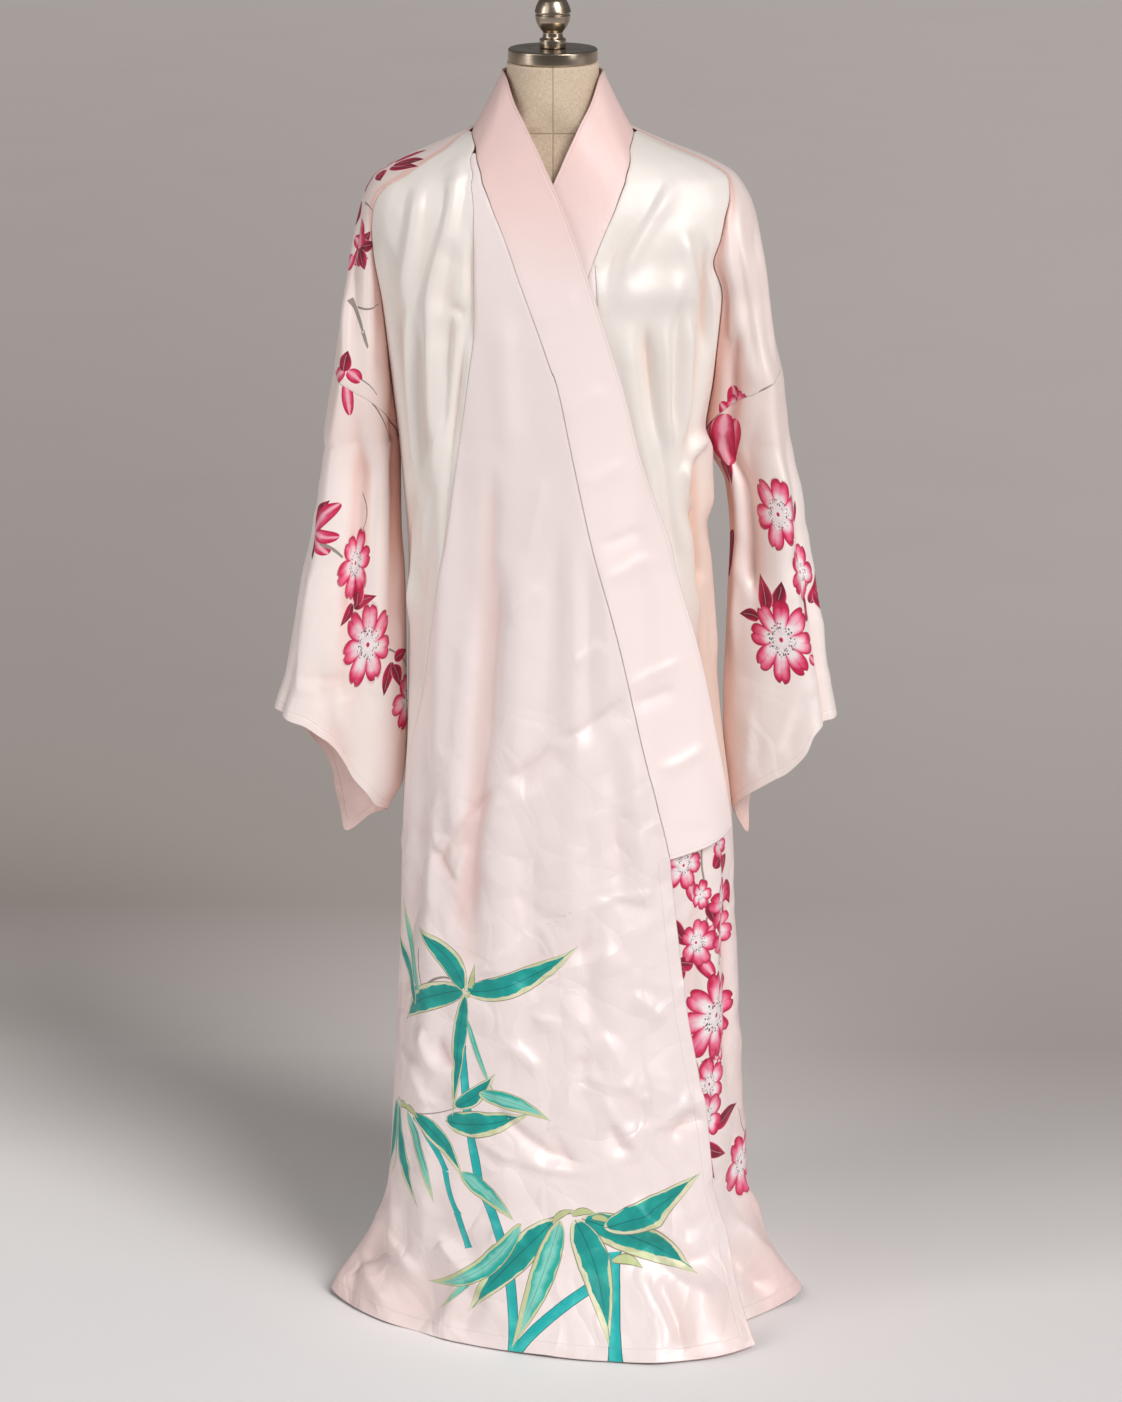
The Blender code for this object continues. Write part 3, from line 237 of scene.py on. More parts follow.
OUTER_CREASES = creases(
    # the ivory side front: a pressed fold along the seam, gathers below it and soft drags from the shoulder
    (-94, 1410, -95, 1180, 50, -77, 0, 5), (-96, 1250, -138, 920, 60, -90, 4, 4),
    (-106, 1240, -130, 1060, 65, 75, 2, 3), (-126, 1120, -186, 900, 85, 83, 4, 2),
    (-119, 1256, -132, 1080, 55, -90, -2, 4), (-102, 1236, -124, 1246, 50, -51, 3, 3),
    (-104, 1420, -150, 1250, 110, 79, -4, 1), (-128, 1400, -172, 1240, 110, -72, -6, 1),
    (-152, 1400, -192, 1230, 120, 64, -4, 0), (-116, 1330, -130, 1230, 100, -64, 0, 1),
    (-142, 1300, -146, 1060, 80, 79, 3, 2), (-157, 1250, -161, 1020, 70, -90, 0, 2),
    (-174, 1270, -180, 1000, 80, 84, 3, 2), (-198, 1260, -214, 1020, 70, -77, 0, 2),
    (-146, 1080, -184, 860, 95, -77, 2, 1), (-180, 1040, -220, 840, 90, 64, 0, 1),
    (-204, 1040, -240, 860, 80, -59, 0, 1),
    # pressed lines across the printed front
    (-160, 560, -51, 698, 60, -72, -10, 6), (-62, 690, 6, 744, 60, -72, 4, 7),
    (-4, 738, 86, 796, 60, -72, 6, 7), (-50, 676, 30, 742, 140, -45, 4, 0),
    (-112, 440, -10, 530, 60, 48, 4, 6), (-20, 506, 40, 548, 50, 40, -4, 6),
    (30, 540, 140, 556, 55, 44, -4, 6), (-60, 450, 60, 506, 180, -61, 4, 0),
    (36, 545, 46, 400, 90, -58, 3, 2), (60, 520, 72, 380, 160, 51, 0, 0),
    (-126, 560, -108, 612, 50, 40, 0, 7), (-166, 610, -116, 560, 55, -53, 0, 6),
    (-154, 600, -104, 662, 55, 44, 6, 6), (-104, 268, -38, 232, 60, 48, 6, 6),
    (-44, 236, 56, 226, 60, 48, 8, 6), (-80, 310, 34, 226, 75, -81, 10, 4),
    (-245, 335, -160, 326, 60, 48, 4, 5), (36, 364, 40, 318, 60, -67, 0, 5),
    (56, 392, 86, 330, 65, 52, -4, 4), (80, 336, 118, 300, 60, 48, 4, 5), (26, 400, 60, 330, 85, -54, 0, 2),
    (-4, 276, 36, 218, 60, -72, 4, 4), (70, 282, 94, 236, 70, -81, 6, 4), (96, 282, 98, 222, 65, 52, -4, 4),
    (122, 262, 172, 308, 70, 56, 3, 4), (136, 250, 180, 284, 80, -76, 3, 3),
    (-100, 250, 46, 208, 90, -38, 10, 2), (54, 322, 108, 238, 65, 52, 4, 5),
    (-26, 412, 14, 402, 60, 48, 3, 5), (-60, 380, -10, 340, 80, 53, 0, 3),
    (90, 440, 140, 396, 70, 56, 0, 4), (-150, 372, -120, 330, 90, -70, 3, 2),
    (-176, 380, -146, 322, 80, 64, 3, 3), (-200, 330, -150, 280, 90, 58, 4, 2),
    # the hem's swells
    (84, 190, 200, 100, 110, 88, 10, 3), (100, 150, 190, 80, 100, -74, 8, 2),
    (90, 100, 150, 10, 110, 88, -6, 3), (130, 90, 175, 10, 90, -98, 0, 3),
    (120, 110, 210, 56, 85, 68, 6, 4), (-160, 130, -60, 60, 100, 80, 6, 3),
    (-160, 6, -110, 86, 80, 64, 4, 4), (-130, 10, -80, 70, 90, -58, 4, 2),
    (-250, 110, -170, 60, 90, 72, 6, 3), (-340, 8, -250, 70, 80, 64, 6, 4),
    (-300, 60, -220, 20, 90, 72, 4, 3), (-310, 20, -240, 110, 110, -80, 4, 2),
    (-265, 190, -215, 90, 100, 64, -4, 2), (-60, 880, -10, 930, 70, 26, 0, 4),
    (20, 830, 60, 860, 70, 29, 0, 4), (-10, 1060, -30, 960, 80, 22, 0, 3),
    (-60, 1260, -50, 1060, 160, 51, 0, 0), (-70, 1080, -74, 900, 100, -38, 0, 1),
    # puckers across the band
    (84, 800, 160, 830, 50, 31, -4, 5), (90, 780, 150, 798, 70, -41, 0, 3),
    (60, 930, 120, 960, 70, 29, 0, 3), (52, 972, 112, 990, 60, -26, 0, 3),
    (120, 700, 190, 726, 70, 43, 4, 3), (30, 1040, 90, 1072, 80, 16, 0, 2),
    (10, 1120, 60, 1160, 80, 18, 0, 2), (-20, 1230, 30, 1270, 80, 16, 3, 2),
)
UNDER_CREASES = creases(
    # the ivory chest on the wearer's left: full over the bust, drawn in towards the armpit
    (124, 1400, 52, 1262, 110, -77, 4, 1), (146, 1390, 70, 1268, 120, 64, 4, 0),
    (60, 1258, 176, 1262, 200, 72, -4, 0), (86, 1240, 112, 1040, 120, 77, 0, 1),
    (107, 1240, 130, 1070, 80, -102, 0, 3), (126, 1120, 158, 920, 85, -96, 0, 2),
    (128, 1240, 142, 1060, 80, 64, 0, 2), (152, 1270, 150, 1080, 70, -84, 3, 3),
    (166, 1250, 172, 1070, 75, 82, 2, 2), (174, 1340, 205, 1170, 70, -87, -4, 3),
    (190, 1330, 216, 1160, 65, 64, -3, 2), (200, 1330, 232, 1150, 60, -72, -4, 3),
    (150, 1340, 172, 1230, 90, 59, -4, 1),
    # the hooked fold in front of the armpit
    (162, 1034, 229, 1083, 100, 125, -12, 2), (229, 1094, 230, 968, 95, 105, -8, 2),
    (208, 1077, 204, 966, 95, -130, -3, 1), (160, 1060, 200, 990, 70, 70, 4, 2),
    (202, 1000, 214, 900, 85, -102, 0, 1), (172, 1010, 194, 840, 90, 77, 0, 2),
    (196, 960, 214, 760, 90, -56, 0, 1), (224, 980, 250, 780, 100, 50, 0, 1),
    (120, 1000, 156, 760, 110, 59, 0, 1),
    # the blossom panel under the wrap
    (196, 640, 176, 300, 100, -65, 4, 2), (224, 620, 210, 340, 90, 65, 4, 3),
    (256, 580, 250, 260, 100, -60, 0, 2), (176, 220, 250, 90, 120, 60, 4, 2),
    (250, 130, 330, 40, 90, 56, 4, 4), (236, 100, 310, 16, 90, -73, 4, 2),
    (280, 160, 370, 70, 90, 73, 6, 3), (210, 90, 270, 8, 100, 65, 0, 3),
)
# On the back, u runs from the centre back, + towards the wearer's right.
BACK_CREASES = creases(
    (0, 1380, 10, 1120, 220, -41, 0, 0), (-60, 1330, -40, 900, 160, 54, 6, 1),
    (70, 1340, 50, 920, 160, 54, -6, 1), (-110, 1300, -80, 860, 140, -54, 6, 1),
    (120, 1310, 90, 840, 140, -54, -6, 1), (150, 1240, 120, 900, 100, 54, 0, 2),
    (-150, 1240, -130, 880, 100, 54, 0, 2), (30, 900, 50, 300, 220, -61, 6, 1),
    (-40, 880, -30, 260, 240, 61, 4, 0), (-100, 760, -120, 200, 200, -61, 6, 1),
    (110, 800, 130, 180, 200, 61, 4, 1), (170, 700, 200, 120, 160, -54, 6, 1),
    (-170, 700, -200, 140, 160, 54, 6, 1), (-60, 520, 20, 590, 50, 28, 8, 7),
    (10, 584, 90, 600, 50, 28, 4, 7), (-100, 300, 40, 270, 60, 33, 10, 6),
    (50, 340, 110, 250, 60, 33, 4, 6), (-30, 240, 80, 150, 70, 39, 6, 5),
    (-150, 180, -70, 80, 80, 44, 6, 4), (120, 160, 200, 60, 80, 44, -6, 4),
    (-260, 100, -200, 30, 90, 50, 4, 4), (230, 100, 280, 20, 90, 50, 4, 4),
)
# On an arm, u runs from the front of the arm, + towards its outer ridge.
ARM_CREASES = {
    "right": creases(
        (62, 930, 22, 727, 60, 34, 10, 6), (-34, 1120, -58, 760, 120, 68, 0, 1),
        (-62, 1110, -84, 780, 90, -66, 0, 2), (-84, 1060, -106, 760, 80, 50, 0, 2),
        (-6, 1150, -20, 800, 100, -66, 4, 1), (26, 1130, 30, 800, 120, 50, 0, 1),
        (50, 1100, 62, 780, 100, -40, 0, 1), (-12, 790, -30, 680, 90, 46, 4, 3),
        (12, 830, 2, 700, 90, -44, 4, 2), (24, 1380, 20, 1170, 70, 50, 2, 3),
        (8, 1360, 0, 1150, 60, -46, 2, 2), (-10, 1370, -18, 1130, 60, 50, 2, 3),
        (-28, 1330, -34, 1120, 60, -56, 0, 3), (-44, 1260, -52, 1100, 65, 44, 0, 2),
        (-64, 1180, -70, 1000, 70, -60, 0, 2), (120, 1100, 140, 760, 160, -50, 6, 1),
        (200, 1120, 210, 760, 160, 54, 6, 1), (250, 1100, 290, 720, 140, -50, 0, 2),
        (170, 1320, 180, 1120, 80, 40, 0, 2), (96, 1300, 110, 1120, 80, -40, 0, 2),
    ),
    "left": creases(
        (-36, 1100, -80, 780, 90, 68, 6, 2), (0, 1130, -46, 820, 90, -62, 6, 1),
        (22, 1120, -14, 800, 90, 54, 4, 1), (46, 1110, 18, 800, 90, -48, 4, 1),
        (70, 1100, 52, 780, 110, 46, 4, 1), (-60, 1060, -100, 740, 80, -60, 6, 2),
        (10, 792, -34, 676, 70, 44, 6, 5), (24, 780, -20, 680, 80, -36, 6, 3),
        (-56, 760, -76, 640, 80, 40, 0, 3), (-30, 1385, -20, 1230, 60, 62, 3, 3),
        (-24, 1260, -6, 1130, 60, 56, 0, 3), (-18, 1370, -4, 1220, 60, 54, 2, 3),
        (-8, 1250, 6, 1130, 60, 50, 0, 3), (-22, 1330, -6, 1150, 60, -62, -2, 2),
        (-40, 1320, -36, 1110, 60, -66, 0, 3), (8, 1340, 20, 1150, 70, -50, 2, 2),
        (26, 1340, 34, 1150, 80, 44, 2, 2), (130, 1100, 140, 760, 160, -50, 6, 1),
        (200, 1120, 210, 760, 160, 54, 6, 1), (250, 1100, 290, 720, 140, -50, 0, 2),
    ),
}
# Fine wrinkles are scattered by seed over the lower cloth: count, lowest and highest z, reach of u each way.
SCATTER = {
    "outer": (11, 80, 0.03, 0.70, 0.26),
    "under": (12, 40, 0.03, 0.62, 0.26),
    "back": (13, 90, 0.03, 1.20, 0.26),
    "right": (14, 22, 0.70, 1.12, 0.16),
    "left": (15, 24, 0.70, 1.12, 0.16),
}
# Slow ripples that hang round the whole body: waves round, metres, phase, drift with height, sway.
RIPPLES = (
    (5, 0.0016, 0.4, 1.1, 0.5), (8, 0.0012, 2.1, -0.8, 0.7), (11, 0.0010, 4.0, 1.7, 0.4),
    (14, 0.0008, 1.2, -1.4, 0.8), (19, 0.0006, 5.3, 2.2, 0.6), (23, 0.0005, 3.0, -2.6, 0.9),
)


# ---------------------------------------------------------------- smooth tables
def smooth_table(rows):
    """A function of the first column that passes smoothly through the rows and never overshoots."""
    data = np.array(sorted(rows), dtype=float)
    keys, values = data[:, 0], data[:, 1:]
    steps = np.diff(keys)[:, None]
    slopes = np.diff(values, axis=0) / steps
    tangents = np.zeros_like(values)
    tangents[0], tangents[-1] = slopes[0], slopes[-1]
    for i in range(1, len(keys) - 1):
        before, after = slopes[i - 1], slopes[i]
        heavy, light = 2 * steps[i] + steps[i - 1], steps[i] + 2 * steps[i - 1]
        rising = before * after > 0
        safe_before, safe_after = np.where(rising, before, 1.0), np.where(rising, after, 1.0)
        tangents[i] = np.where(rising, (heavy + light) / (heavy / safe_before + light / safe_after), 0.0)

    def at(key):
        key = np.clip(np.asarray(key, dtype=float), keys[0], keys[-1])
        i = np.clip(np.searchsorted(keys, key) - 1, 0, len(keys) - 2)
        step = steps[i]
        t = (key[..., None] - keys[i][..., None]) / step
        return (
            (1 + 2 * t) * (1 - t) ** 2 * values[i]
            + t * (1 - t) ** 2 * step * tangents[i]
            + t * t * (3 - 2 * t) * values[i + 1]
            + t * t * (t - 1) * step * tangents[i + 1]
        )

    return at


def smooth_line(rows):
    """The same for rows with a single value."""
    table = smooth_table(rows)
    return lambda key: table(key)[..., 0]


body_at = smooth_table(BODY)
collar_seam_at = smooth_line(COLLAR_SEAM)
collar_edge_at = smooth_line(COLLAR_EDGE)
wrap_edge_at = smooth_line(WRAP_EDGE)
print_seam_at = smooth_line(PRINT_SEAM)
hidden_seam_at = smooth_line(HIDDEN_SEAM)
under_edge_at = smooth_line(UNDER_EDGE)
shoulder_seam_at = smooth_table(SHOULDER_SEAM)
back_valley_at = smooth_line(BACK_VALLEY)
arm_at = {"right": smooth_table(ARM_RIGHT), "left": smooth_table(ARM_LEFT)}
cuff_at = {"right": smooth_line(CUFF_RIGHT), "left": smooth_line(CUFF_LEFT)}
SIDE_SIGN = {"right": -1.0, "left": 1.0}
ARM_FOLDS = {"right": ARM_FOLDS_RIGHT, "left": ARM_FOLDS_LEFT}


def ease(value):
    """0 below 0, 1 above 1 and a smooth step between."""
    value = np.clip(value, 0.0, 1.0)
    return value * value * (3 - 2 * value)


def power(value, exponent):
    """A signed power, for superellipses."""
    return np.sign(value) * np.abs(value) ** exponent


def wrapped(turn):
    """The same turn, between -180 and 180 degrees."""
    return (turn + 180.0) % 360.0 - 180.0


# ---------------------------------------------------------------- bare surfaces
def body_ring(turn, z):
    """The bare body surface."""
    left, right, front, back, middle, corner = np.moveaxis(body_at(z), -1, 0)
    sideways, forward = np.sin(np.radians(turn)), np.cos(np.radians(turn))
    half = np.where(sideways < 0, left, right)
    depth = np.where(forward > 0, front + middle, back - middle)
    x = half * power(sideways, 2 / corner)
    y = middle - depth * power(forward, 2 / corner)
    return np.stack([x, y, np.broadcast_to(z, x.shape)], axis=-1)


def ring_outward(turn, z):
    """The bare body's outward normal."""
    turn_step = PROBE / DEGREE_GIRTH
    round_it = body_ring(turn + turn_step, z) - body_ring(turn - turn_step, z)
    upward = body_ring(turn, np.minimum(z + PROBE, NECK_Z)) - body_ring(turn, np.maximum(z - PROBE, HEM_Z))
    normal = np.cross(round_it, upward)
    return normal / np.linalg.norm(normal, axis=-1, keepdims=True)


def fold_height(folds, across, z, girth):
    """The summed height of the broad folds that the frame has too."""
    total = np.zeros(np.broadcast(across, z).shape)
    for across_0, z_0, across_1, z_1, width, height in folds:
        run = np.array([(across_1 - across_0) * girth, z_1 - z_0])
        length = np.hypot(*run)
        along_x, along_z = (across - across_0) * girth, z - z_0
        along = (along_x * run[0] + along_z * run[1]) / length**2
        aside = (along_x * run[1] - along_z * run[0]) / length
        tail = width / length
        ends = ease((along + tail) / (2 * tail)) * ease((1 + tail - along) / (2 * tail))
        total = total + height * np.exp(-((aside / width) ** 2)) * ends
    return total


class ArcLength:
    """Metres along a stack of level rings from a zero place, for any place and height."""

    def __init__(self, ring, keys, heights, zero):
        self.keys, self.heights = keys, heights
        key, z = np.meshgrid(keys, heights)
        steps = np.linalg.norm(np.diff(ring(key, z), axis=1), axis=2)
        lengths = np.concatenate([np.zeros((len(heights), 1)), np.cumsum(steps, axis=1)], axis=1)
        self.lengths = lengths - lengths[:, np.argmin(np.abs(keys - zero))][:, None]

    def at(self, key, z):
        key, z = np.broadcast_arrays(key, z)
        column = np.clip(np.interp(key, self.keys, np.arange(len(self.keys))), 0, len(self.keys) - 1.001)
        row = np.clip(np.interp(z, self.heights, np.arange(len(self.heights))), 0, len(self.heights) - 1.001)
        i, j = row.astype(int), column.astype(int)
        a, b = row - i, column - j
        low = self.lengths[i, j] * (1 - b) + self.lengths[i, j + 1] * b
        high = self.lengths[i + 1, j] * (1 - b) + self.lengths[i + 1, j + 1] * b
        return low * (1 - a) + high * a


def arm_shape(side, share, z):
    """How a bare arm stands out from the line it starts from, and its outward direction."""
    sign = SIDE_SIGN[side]
    inner, outer, front, back, _ = np.moveaxis(arm_at[side](z), -1, 0)
    angle = np.radians(ARM_MOUTH + (360.0 - 2 * ARM_MOUTH) * share)
    mouth = np.radians(ARM_MOUTH)
    exponent = 2 / ARM_CORNER
    reach = (np.cos(mouth) ** exponent - power(np.cos(angle), exponent)) / (np.cos(mouth) ** exponent + 1)
    swing = power(np.sin(angle), exponent) - np.sin(mouth) ** exponent * (1 - 2 * share)
    depth = np.where(swing > 0, front, back)
    stand = np.stack([sign * reach * (outer - inner), -depth * swing, 0 * reach], axis=-1)
    outward = np.stack([-sign * np.cos(angle), -np.sin(angle), 0 * angle], axis=-1)
    return stand, outward


def arm_root(side, share, z, surface):
    """The line on the body that an arm starts from: from the shoulder seam to the valley behind the arm."""
    seam = shoulder_seam_at(z)[..., 0 if side == "right" else 1]
    valley = back_valley_at(z)
    turn = SIDE_SIGN[side] * (90.0 - seam + share * (seam + valley))
    return surface(turn, np.maximum(z, ARMPIT_Z))


def arm_start(side, share, z, surface):
    """Where an arm's ring starts: on the body down to the armpit, and on a straight level line below it."""
    inner, _, _, _, middle = np.moveaxis(arm_at[side](z), -1, 0)
    start = np.stack([SIDE_SIGN[side] * inner, middle, z], axis=-1)
    return np.where((z >= ARMPIT_Z)[..., None], arm_root(side, share, z, surface), start)


def bare_arm(side):
    """The bare surface of an arm, by share and height."""
    return lambda share, z: arm_start(side, share, z, body_ring) + arm_shape(side, share, z)[0]


BODY_HEIGHTS = np.linspace(HEM_Z, NECK_Z, 90)
ARM_HEIGHTS = np.linspace(0.540, ARM_START_Z, 60)
front_u = ArcLength(body_ring, np.linspace(-180.0, 180.0, 241), BODY_HEIGHTS, 0.0)
back_u = ArcLength(
    lambda turn, z: body_ring(turn + 180.0, z), np.linspace(-90.0, 90.0, 121), BODY_HEIGHTS, 0.0
)
arm_u = {
    side: ArcLength(bare_arm(side), np.linspace(0.0, 1.0, 161), ARM_HEIGHTS, 0.25)
    for side in ("right", "left")
}


# ---------------------------------------------------------------- creased surfaces
CREASE_TAPER = 0.28
PRESSED_SLANT = 2.2


def crease_height(rows, u, z):
    """The summed height of the creases at a place on the cloth."""
    total = np.zeros(np.broadcast(u, z).shape)
    for u_0, z_0, u_1, z_1, width, height, bend, sharp in rows:
        run_u, run_z = u_1 - u_0, z_1 - z_0
        length = math.hypot(run_u, run_z)
        along = ((u - u_0) * run_u + (z - z_0) * run_z) / length**2
        aside = ((u - u_0) * run_z - (z - z_0) * run_u) / length
        middle = np.clip(along, 0.0, 1.0)
        aside = aside - 4 * bend * middle * (1 - middle)
        aside = np.abs(aside) / (width * np.where(aside > 0, 1 + PRESSED_SLANT * sharp, 1.0))
        soft, crisp = np.exp(-(aside**2)), np.exp(-1.4 * aside)
        ends = ease(along / CREASE_TAPER) * ease((1 - along) / CREASE_TAPER)
        total = total + height * (soft * (1 - sharp) + crisp * sharp) * ends
    return total


def scattered_creases(seed, count, lowest, highest, reach):
    """Fine wrinkles at seeded places, most of them near level, longer and flatter lower down."""
    random = np.random.default_rng(seed)
    wrinkles = []
    for _ in range(count):
        u, z = random.uniform(-reach, reach), random.uniform(lowest, highest)
        angle, length = random.normal(0.0, 0.8), random.uniform(0.05, 0.17)
        height = random.choice([-1.0, 1.0]) * random.uniform(0.0009, 0.0026)
        end_u, end_z = u + length * math.cos(angle), z + length * math.sin(angle)
        bend, width, sharp = (random.uniform(*span) for span in ((-0.006, 0.006), (0.006, 0.012), (0.2, 0.7)))
        wrinkles.append((u, z, end_u, end_z, width, height, bend, sharp))
    return wrinkles


FINE = {name: scattered_creases(*facts) for name, facts in SCATTER.items()}
LAYER_CREASES = {
    "outer": FRONT_CREASES + OUTER_CREASES + FINE["outer"],
    "under": FRONT_CREASES + UNDER_CREASES + FINE["under"],
}
SIDE_WINDOW = 7.0
COVER_RUN, COVER_SPARE = 8.0, 0.0010
SHOULDER_REST_Z, SHOULDER_REST_RUN = 1.365, 0.070
RIPPLE_CALM_Z, RIPPLE_CALM_RUN, RIPPLE_CALM_SHARE = 1.300, 0.300, 0.70


def ripple(turn, z):
    """Slow ripples that hang round the whole body."""
    angle = np.radians(turn)
    total = 0.0
    for waves, height, phase, drift, sway in RIPPLES:
        total = total + height * np.sin(waves * angle + phase + drift * z + sway * np.sin(2.3 * z + phase))
    return total * (1 - RIPPLE_CALM_SHARE * ease((z - RIPPLE_CALM_Z) / RIPPLE_CALM_RUN + 1))


def seam_turn(side, z):
    """The turn of the line where the fronts end at each side: the shoulder seam, then the side seam."""
    lead = np.where(z >= ARMPIT_Z, shoulder_seam_at(z)[..., 0 if side == "right" else 1], 0.0)
    return SIDE_SIGN[side] * (90.0 - lead)


def layer_height(turn, z, layer):
    """How far a layer of the wrapped fronts stands off the body."""
    share = ease((np.asarray(turn) + 90.0) / 180.0)
    if layer == "outer":
        swell = ease((turn - SWELL_TURN) / SWELL_TURN_RUN) * ease((SWELL_TOP_Z - z) / SWELL_RUN)
        return LAYER_STEP * share + SWELL * swell
    if layer == "under":
        return -LAYER_STEP * (1 - share)
    return 0.0 * share


def detail_height(turn, z, layer):
    """The fine creases of one layer. They fade out where the layer meets its neighbours."""
    if layer == "back":
        from_back = wrapped(turn - 180.0)
        window = ease((90.0 - np.abs(from_back)) / SIDE_WINDOW)
        u = back_u.at(np.clip(from_back, -90.0, 90.0), z)
        return window * crease_height(BACK_CREASES + FINE["back"], u, z)
    limit = np.where(turn < 0, -seam_turn("right", z), seam_turn("left", z))
    window = ease((limit - np.abs(turn)) / SIDE_WINDOW)
    u = front_u.at(turn, z)
    height = crease_height(LAYER_CREASES[layer], u, z)
    if layer == "under":
        edge = np.where(z > WRAP_END_Z, collar_edge_at(z), wrap_edge_at(z))
        covered = ease((edge - turn) / COVER_RUN + 0.5)
        above = height - crease_height(LAYER_CREASES["outer"], u, z) - COVER_SPARE
        height = height - covered * np.maximum(above, 0.0)
    return window * height


def body_relief(turn, z, layer):
    """The height of all folds and creases on the body."""
    turn, z = np.broadcast_arrays(np.asarray(turn, dtype=float), np.asarray(z, dtype=float))
    place = wrapped(turn)
    height = fold_height(BODY_FOLDS, place, z, DEGREE_GIRTH)
    height = height + fold_height(BODY_FOLDS, place - 360.0 * np.sign(place), z, DEGREE_GIRTH)
    fine = ripple(place, z) + detail_height(turn, z, layer)
    fine = np.where(fine < 0, fine * ease((SHOULDER_REST_Z - z) / SHOULDER_REST_RUN), fine)
    return height + fine


def body(turn, z, layer="back"):
    """A point of the robe's body, with its folds and creases, in one of its layers."""
    turn, z = np.broadcast_arrays(np.asarray(turn, dtype=float), np.asarray(z, dtype=float))
    height = body_relief(turn, z, layer) + layer_height(turn, z, layer)
    point = body_ring(turn, z) + ring_outward(turn, z) * height[..., None]
    if layer == "outer":
        low = ease(1 - z / HEM_SWING_Z) ** HEM_SWING_POWER
        point[..., 1] -= HEM_SWING * low * ease((turn - HEM_SWING_TURN) / HEM_SWING_TURN_RUN)
    return point


ARM_WINDOW = 0.05
CUFF_CALM_LOW, CUFF_CALM_RUN = 0.006, 0.045


def arm_relief(side, share, z):
    """The height of all folds and creases on an arm."""
    window = ease(np.minimum(share, 1 - share) / ARM_WINDOW)
    calm = ease((z - cuff_at[side](share) - CUFF_CALM_LOW) / CUFF_CALM_RUN)
    fine = window * calm * crease_height(ARM_CREASES[side] + FINE[side], arm_u[side].at(share, z), z)
    return fold_height(ARM_FOLDS[side], share, z, SHARE_GIRTH) + fine


def arm(side, share, z, sleeve=False):
    """A point of an arm: share runs from its inner corner, round the front, the outer ridge and the back."""
    share, z = np.broadcast_arrays(np.asarray(share, dtype=float), np.asarray(z, dtype=float))
    base = arm_start(side, share, z, body)
    stand, outward = arm_shape(side, share, z)
    point = base + stand + outward * arm_relief(side, share, z)[..., None]
    if sleeve:
        corner = 1 - ease(np.minimum(share, 1 - share) / ARMPIT_CORNER)
        clear = ARMPIT_CLEARANCE * corner * ease((z - ARMPIT_CLEARANCE_Z) / ARMPIT_CLEARANCE_RUN)
        point = point + clear[..., None] * np.array([SIDE_SIGN[side], 0.0, 0.0])
    return point


def drop_seam_z(share):
    """The height of the seam between the upper arm and the sleeve."""
    return ARMPIT_Z + DROP_SEAM_RISE * np.sin(np.pi * np.clip(share, 0, 1)) ** DROP_SEAM_POWER


# ---------------------------------------------------------------- meshes
class Sheet:
    """A grid of cloth: rows run down from the top, columns run anticlockwise seen from above. uv is metres
    along and up the cloth. seam and hem are metres to the nearest sewn edge and to the nearest hemmed edge.
    tint is the share of the warm colour, which is mostly painted shade, and keep says which cells are cloth."""

    def __init__(self, points, u, z, closed=False, keep=None):
        self.points, self.closed = points, closed
        rows, columns = points.shape[:2]
        self.uv = np.stack(np.broadcast_arrays(u, z), axis=-1)
        cells = columns if closed else columns - 1
        self.keep = np.ones((rows - 1, cells), bool) if keep is None else keep
        self.seam = np.full((rows, columns), 1.0)
        self.hem = np.full((rows, columns), 1.0)
        self.tint = np.zeros((rows, columns))

    def distance(self, edge):
        """Metres from each point to one edge of the grid."""
        axis = 1 if edge in ("left", "right") else 0
        steps = np.linalg.norm(np.diff(self.points, axis=axis), axis=2)
        pad = np.zeros_like(np.take(steps, [0], axis=axis))
        lengths = np.concatenate([pad, np.cumsum(steps, axis=axis)], axis=axis)
        if edge in ("right", "bottom"):
            lengths = np.take(lengths, [-1], axis=axis) - lengths
        return lengths


def grid_normals(points, closed=False):
    """Outward normals of a grid."""
    if closed:
        across = np.roll(points, -1, axis=1) - np.roll(points, 1, axis=1)
    else:
        across = np.gradient(points, axis=1)
    normals = np.cross(np.gradient(points, axis=0), across)
    return normals / np.maximum(np.linalg.norm(normals, axis=-1, keepdims=True), 1e-12)


SEAM_DIP, SEAM_DIP_REACH = 0.0005, 0.0022


